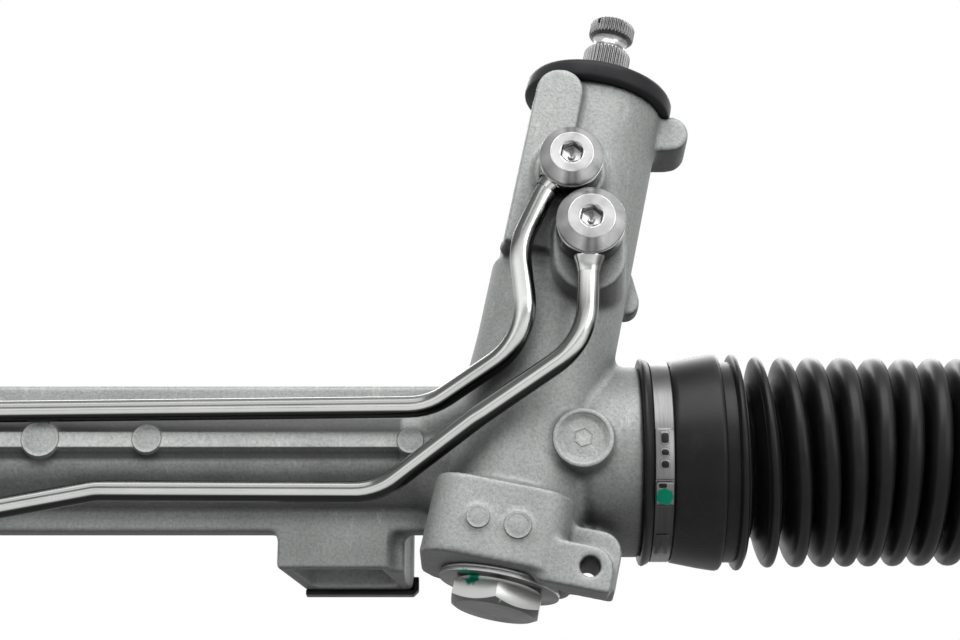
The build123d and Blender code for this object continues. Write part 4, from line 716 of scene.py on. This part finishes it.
def bellows_rows(seat):
    rows = [(42.4, seat + 0.1), (42.3, seat + 4.2), (42.6, seat + 5.0), (43.3, seat + 5.4),
            (44.1, seat + 5.1), (45.6, seat + 4.3), (45.9, seat + 3.6), (46.0, seat + CUFF_WALL),
            (53.4, seat + CUFF_WALL), (53.6, seat + 3.6), (54.0, seat + 4.1), (56, seat + 4.5),
            (64, seat + 6.1), (69, seat + 6.9), (70.6, seat + 7.1), (71.6, seat + 6.8), (72.2, seat + 6.0),
            (72.5, seat + 4.6)]
    valley = max(seat - 1, BELLOWS_VALLEY_R)
    x = FIRST_FOLD_X - FOLD_PITCH / 2 + 0.2
    rows += [(x - 0.4, valley + 2.5), (x - 0.2, valley + 0.6), (x, valley), (x + 0.4, valley + 0.4),
             (x + 0.8, valley + 2.0)]
    for fold in range(BELLOWS_TURNS):
        peak = crest_radius(fold, seat)
        crest = [(FOLD_WIDTHS[fold] * a, b) for a, b in mirrored(CREST)]
        if fold == 0:
            crest = [(a, b) for a, b in crest if peak + b > valley + 2.5]
        rows += [(fold_x(fold) + a, peak + b) for a, b in crest]
        dip = VALLEY if fold == BELLOWS_TURNS - 1 else mirrored(VALLEY)
        rows += [(fold_x(fold) + FOLD_PITCH / 2 + a, valley_radius(fold) + b) for a, b in dip]
    rows += [(CUFF_X, 17.5), (CUFF_X + 0.8, 13.2), (CUFF_X + 1.6, 10.2), (CUFF_X + 2.4, ROD_CUFF_R),
             (CUFF_X + 11.6, ROD_CUFF_R), (CUFF_X + 12, 9.1), (CUFF_X + 12, ROD_CUFF_BORE_R)]
    return rows


# The inside of some folds, from the last back to the first
def inner_rows(first, last, seat):
    rows = []
    for fold in range(last, first - 1, -1):
        x = fold_x(fold)
        peak = crest_radius(fold, seat) - CREST_WALL
        rows += [(x + 2.0, peak), (x - 2.0, peak)]
        if fold > first:
            rows.append((x - FOLD_PITCH / 2, valley_radius(fold) - VALLEY_WALL))
    return rows


# Folds lean to and fro: a fold's top lies this far along the rack, and its bottom the other way
LEAN_FOLDS = (-1.2, 0, 1, 2, 3, 4, 5, 6, 7, 9, 13)
LEAN_TOPS = (0, -0.6, -2.1, -2.4, -1.9, -0.3, 1.5, 2.6, 2.9, 2.2, 0)
LEAN_HIGH = 38


def lean_folds(obj, place):
    origin, along = place[0], place[1]
    for vertex in obj.data.vertices:
        away = vertex.co - origin
        fold = (away.dot(along) / MM - FIRST_FOLD_X) / FOLD_PITCH
        vertex.co += along * (float(np.interp(fold, LEAN_FOLDS, LEAN_TOPS)) / LEAN_HIGH * away.z)
    obj.data.update()


def bellows(side, place, seat):
    rows = bellows_rows(seat)
    split = (SPLIT_X, valley_radius(INNER_FOLDS - 1) - VALLEY_WALL)
    near = [row for row in rows if row[0] <= SPLIT_X + SPLIT_SLACK]
    near += [split] + inner_rows(0, INNER_FOLDS - 1, seat) + [(69, seat + 4), (55, seat + 0.1)]
    far = [row for row in rows if row[0] >= SPLIT_X - SPLIT_SLACK]
    far += [(CUFF_X, ROD_CUFF_BORE_R), (FOLDS_END_X + 1, 14)]
    far += inner_rows(INNER_FOLDS, BELLOWS_TURNS - 1, seat) + [split]

    def along(x):
        return place[0] + place[1] * (x * MM)

    first = lathe(side + "_bellows_inner", place, near, RUBBER, 128, closed=True, sharp=60)
    second = lathe(side + "_bellows_outer", place, far, RUBBER, 128, closed=True, sharp=60)
    for obj in (first, second):
        lean_folds(obj, place)
    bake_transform(first)
    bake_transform(second)
    for obj in (first, second):
        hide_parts(side + "_bellows")


bellows("right", RACK_FRAME, SEAT_R)
bellows("left", LEFT_FRAME, CYLINDER_R)

# Rounded copies of the pieces that show: node, bevel and material where it isn't the slot's
for node, bevel, material in (("upper_pipe", 0.25, PIPE_ZINC), ("lower_pipe", 0.25, PIPE_ZINC),
                              ("pinion_cap", 0.5, CAP_ZINC), ("cap_ring", 0.3, CAP_ZINC),
                              ("pipe_nuts", 0.4, None), ("banjo_washers", 0.15, None),
                              ("saddle_pad", 0.7, None), ("bush_rubber", 0.6, None),
                              ("bush_sleeve", 0.4, None), ("yoke_plug", 0.5, None),
                              ("yoke_nut", 0.5, None), ("right_rod_clamp", 0.15, None),
                              ("left_rod_clamp", 0.15, None)):
    dress(node, bevel, material)

# Threads of the tie rods: the copy of the rod is thinned there, and the thread is a turned mesh on it
THREAD_START = 280.0
ROD_END = 342.0
ROD_THREAD_R = 8.0
THREAD_DEEP = 0.92
THREAD_PITCH = 1.5
THREAD_STEP = THREAD_PITCH / 4
CORE_R = 6.9


def thread_radius(row, angle):
    s, r, depth = row
    turn = (s / THREAD_PITCH - angle / (2 * math.pi)) % 1.0
    return r - depth * abs(2 * turn - 1)


def tie_rod(side, place):
    rod = dress(side + "_tie_rod", 0.3)
    origin, along = place[0], place[1]
    for vertex in rod.data.vertices:
        away = vertex.co - origin
        out = away - along * away.dot(along)
        if away.dot(along) > (THREAD_START - 2) * MM and out.length > CORE_R * MM:
            vertex.co -= out * (1 - CORE_R * MM / out.length)
    rows = [(THREAD_START - 3, 7.4, 0), (THREAD_START - 1.5, 7.2, 0)]
    count = int((ROD_END - 1.5 - THREAD_START) / THREAD_STEP)
    rows += [(THREAD_START + THREAD_STEP * k, ROD_THREAD_R, THREAD_DEEP) for k in range(count)]
    rows += [(ROD_END - 1.2, 7.6, 0.5), (ROD_END - 0.6, 7.0, 0.1), (ROD_END, 6.5, 0), (ROD_END, 0, 0)]
    obj = lathe(side + "_rod_thread", place, rows, STEEL, 48, thread_radius, sharp=35)
    stand_for(obj, side + "_tie_rod")


tie_rod("right", RACK_FRAME)
tie_rod("left", LEFT_FRAME)

# Patch with round corners, bent round the rack axis: angles are in degrees above the front
CORNER_STEPS = 5
PATCH_STEP = 0.8
PATCH_FOOT = -0.4


def bent_patch(name, place, x0, x1, low, high, r, thick, corner, material):
    origin, along = place[0], place[1]
    start, end = math.radians(low) * r, math.radians(high) * r
    middle, half = (x0 + x1) / 2, (x1 - x0) / 2
    edge = min(0.15, 0.4 * thick)
    span = end - start - 2 * corner
    turns = [math.radians(90 / CORNER_STEPS * k) for k in range(CORNER_STEPS + 1)]
    steps = max(2, int(span / PATCH_STEP))
    rounded = [corner * (1 - math.cos(turn)) for turn in turns]
    marks = rounded + [corner + span * k / steps for k in range(1, steps)]
    marks += [end - start - mark for mark in reversed(rounded)]
    rings = []
    verts = []
    for mark in marks:
        inset = corner - min(mark, end - start - mark)
        wide = half - corner + math.sqrt(max(0.0, corner ** 2 - max(0.0, inset) ** 2))
        angle = (start + mark) / r
        spot = -Y_AXIS * math.cos(angle) + Z_AXIS * math.sin(angle)
        ring = []
        for dx, dr in ((-wide, PATCH_FOOT), (-wide, thick - edge), (edge - wide, thick),
                       (wide - edge, thick), (wide, thick - edge), (wide, PATCH_FOOT)):
            ring.append(len(verts))
            verts.append(origin + (along * (middle + dx) + spot * (r + dr)) * MM)
        rings.append(ring)
    faces = [rings[0], rings[-1][::-1]]
    for a, b in zip(rings, rings[1:]):
        for k in range(len(a)):
            j = (k + 1) % len(a)
            faces.append((a[k], b[k], b[j], a[j]))
    return make(name, verts, faces, material, 50)


# Band clamp: band, overlapped tongue with three raised slots, hook and embossed tab; black patches in the
# slots and by the hook are painted shade
BAND_X = (46.1, 53.1)
BAND_GAP = 0.1
BAND_THICK = 0.7
TONGUE_THICK = 0.6
SLOT_ANGLES = ((-6.6, 1.0), (-13.2, -8.2), (-20.0, -14.4))


def band_clamp(side, place, r):
    x0, x1 = BAND_X
    skin = r + BAND_THICK
    top = skin + TONGUE_THICK
    rows = [(x0, r + 0.1), (x0, r + 0.5), (x0 + 0.15, skin), (x1 - 0.15, skin), (x1, r + 0.5), (x1, r + 0.1)]
    band = lathe("band", place, rows, CLAMP_STEEL, 128, closed=True)

    def patch(name, xs, angles, r, thick, corner, material=CLAMP_STEEL):
        return bent_patch(name, place, *xs, *angles, r, thick, corner, material)

    bright = [band, patch("tongue", (x0 + 0.1, x1 - 0.1), (-26.4, 3.1), skin, TONGUE_THICK, 1.2)]
    # Black patches that stand for the shade inside the openings
    shade_patches = []
    for low, high in SLOT_ANGLES:
        bright.append(patch("rim", (47.8, 51.4), (low, high), top, 0.25, 1.2))
        shade_patches.append(patch("slot", (48.2, 51.0), (low + 0.7, high - 1.2), top + 0.15, 0.14, 1.0, BLACK))
    bright.append(patch("hook", (x0 + 0.3, x1 - 0.3), (-40.6, -26.8), skin, 1.3, 0.9))
    shade_patches.append(patch("hook_gap", (47.2, 50.2), (-30.0, -27.6), top + 0.6, 0.14, 0.7, BLACK))
    bright.append(patch("tab", (47.0, 51.8), (-80.0, -60.5), skin, 0.35, 0.8))
    join(bright, side + "_band_look", side + "_band_clamp")
    join(shade_patches, side + "_band_slot_shade", side + "_band_clamp")


band_clamp("right", RACK_FRAME, SEAT_R + CUFF_WALL + BAND_GAP)
band_clamp("left", LEFT_FRAME, CYLINDER_R + CUFF_WALL + BAND_GAP)

# Rib along the tube, with crisp edges, given by two corners of its box
RIB_LOW = (-212, -22.5, -0.9)
RIB_HIGH = (-40, -17, 5.3)
RIB_EDGE = 0.5
LONG_EDGE = 50 * MM


def rib():
    bm = bmesh.new()
    xs, ys, zs = zip(RIB_LOW, RIB_HIGH)
    corners = [bm.verts.new(at(x, y, z)) for z in zs for y in ys for x in xs]
    for face in ((0, 2, 3, 1), (4, 5, 7, 6), (0, 1, 5, 4), (2, 6, 7, 3), (0, 4, 6, 2), (1, 3, 7, 5)):
        bm.faces.new([corners[k] for k in face])
    bmesh.ops.bevel(bm, geom=bm.edges[:], offset=RIB_EDGE * MM, offset_type="OFFSET", segments=3,
                    profile=0.5, affect="EDGES")
    bmesh.ops.subdivide_edges(bm, edges=[e for e in bm.edges if e.calc_length() > LONG_EDGE], cuts=60)
    obj = from_edit("cast_rib", bm)
    smooth_but_for_edges(obj.data, 50)
    # The rib takes the brighter copy: painted light
    obj.data.materials.append(CAST_LIT)
    stand_for(obj, "rack_housing")


rib()

# Turned faces on the casting: the boss with its hexagon, and the ejector pads of rib and block
BOSS = (19.8, -2.9)
BOSS_FRONT = 42
BOSS_ROWS = ((-5, 11.6, 0), (-0.8, 11.25, 0), (-0.1, 11.0, 0), (0.15, 10.6, 0), (0.15, 9.8, 0),
             (-0.1, 9.35, 0), (-1.1, 9.15, 0), (-1.15, 8.8, 0), (-1.15, 3.35, 1), (-1.6, 3.2, 1),
             (-1.6, 2.9, 1), (-1.1, 2.7, 1), (-1.1, 0, 0))
RIB_FRONT = 22.8
RIB_PADS = ((-180.5, 2.4, 7.0), (-141.0, 2.4, 5.5), (-43.3, 1.6, 5.0))
BLOCK_FRONT = 46.3
BLOCK_PADS = ((-18.2, -33.3, 4.3), (-4.1, -36.5, 5.0))


def cast_disc(x, z, front, rows, material):
    rows = [(front + s, r, hexed) for s, r, hexed in rows]
    return lathe("cast_disc", front_frame(x, z), rows, material, 72, hexed_radius, sharp=35)


def pads(places, front, material):
    discs = []
    for x, z, r in places:
        rows = ((-2.5, r + 0.5, 0), (-0.3, r + 0.1, 0), (0.2, r - 0.25, 0), (0.25, r - 0.7, 0),
                (0.1, r - 1.1, 0), (0.2, r - 1.6, 0), (0.2, 0, 0))
        discs.append(cast_disc(x, z, front, rows, material))
    return discs


boss = cast_disc(*BOSS, BOSS_FRONT, BOSS_ROWS, CAST)
join([boss] + pads(BLOCK_PADS, BLOCK_FRONT, CAST), "cast_discs", "rack_housing")
# The rib's pads take the brighter copy too: painted light
join(pads(RIB_PADS, RIB_FRONT, CAST_LIT), "cast_rib_discs", "rack_housing")


# Flared collars where the pipes leave their eyes: from the eye's centre towards the pipe's first bend
def collar(node, centre, bend, near, far):
    origin = at(*centre)
    along = (at(*bend) - origin).normalized()
    side = along.cross(Y_AXIS).normalized()
    rows = [(near, 5.0), (near, 5.6), (near + 0.6, 5.75), (near + 1.6, 5.6), (far - 3, 4.7), (far - 1, 4.3),
            (far, 4.1), (far, 3.9)]
    place = (origin, along, side, along.cross(side))
    stand_for(lathe(node + "_collar", place, rows, PIPE_ZINC, 48, closed=True), node)


collar("upper_pipe", (16.2, -55.25, 98.7), (6.9, -54.8, 88.8), 9.6, 14.0)
collar("lower_pipe", (22.8, -58.75, 71.9), (20.8, -57.3, 28.2), 10.6, 17.5)

# The camera stands where the photo's did, in metres, and looks up by 20 degrees
CAMERA_PLACE = (0.046518, -0.806212, -0.222904)
CAMERA_TILT = math.radians(110)
LENS = 78.94
SENSOR = 36


def add_camera():
    data = bpy.data.cameras.new("camera")
    data.lens = LENS
    data.sensor_width = SENSOR
    data.clip_start = 0.01
    data.clip_end = 50
    camera = add_object("camera", data)
    camera.location = CAMERA_PLACE
    camera.rotation_euler = (CAMERA_TILT, 0, 0)
    scene.camera = camera


add_camera()

# Pale floor, in metres
FLOOR_Z = -0.24
FLOOR_HALF = 6


def add_floor():
    m = Nodes("pale_floor")
    material = m.done(m.shades(m.noise(3, 3.0), ((0.3, 0.52), (0.7, 0.55))), 0.7, 0.0)
    corners = [(x * FLOOR_HALF, y * FLOOR_HALF, FLOOR_Z) for x, y in ((-1, -1), (1, -1), (1, 1), (-1, 1))]
    floor = make("floor", corners, [(0, 1, 2, 3)], material, closed=False)


add_floor()

# World: soft light on surfaces, and full white where it is seen directly or in a reflection
WORLD_LIGHT = 0.32
WORLD_SEEN = 1.0


def add_world():
    world = bpy.data.worlds.new("world")
    scene.world = world
    world.use_nodes = True
    tree = world.node_tree
    path = tree.nodes.new("ShaderNodeLightPath")
    seen = path.outputs["Is Camera Ray"]
    for ray in ("Is Glossy Ray", "Is Transmission Ray"):
        either = tree.nodes.new("ShaderNodeMath")
        either.operation = "MAXIMUM"
        tree.links.new(seen, either.inputs[0])
        tree.links.new(path.outputs[ray], either.inputs[1])
        seen = either.outputs["Value"]
    strength = tree.nodes.new("ShaderNodeMapRange")
    strength.inputs["To Min"].default_value = WORLD_LIGHT
    strength.inputs["To Max"].default_value = WORLD_SEEN
    background = tree.nodes["Background"]
    background.inputs["Color"].default_value = (1, 1, 1, 1)
    tree.links.new(seen, strength.inputs["Value"])
    tree.links.new(strength.outputs["Result"], background.inputs["Strength"])


add_world()


# Area lights, with places and sizes in metres
def area_light(name, place, aim, size, power):
    light = bpy.data.lights.new(name, "AREA")
    light.shape = "RECTANGLE"
    light.size, light.size_y = size
    light.energy = power
    obj = add_object(name, light)
    obj.location = place
    obj.rotation_euler = (Vector(aim) - Vector(place)).to_track_quat("-Z", "Y").to_euler()


area_light("key", (0.10, -0.95, 1.2), (0.06, -0.04, 0.03), (1.8, 1.1), 25)
area_light("fill", (0.9, -1.0, 0.25), (0.05, -0.04, 0.03), (0.7, 0.7), 3)
area_light("back", (0.1, 0.9, 0.9), (0.05, -0.04, 0.03), (1.2, 0.5), 8)

scene.view_settings.view_transform = "Standard"
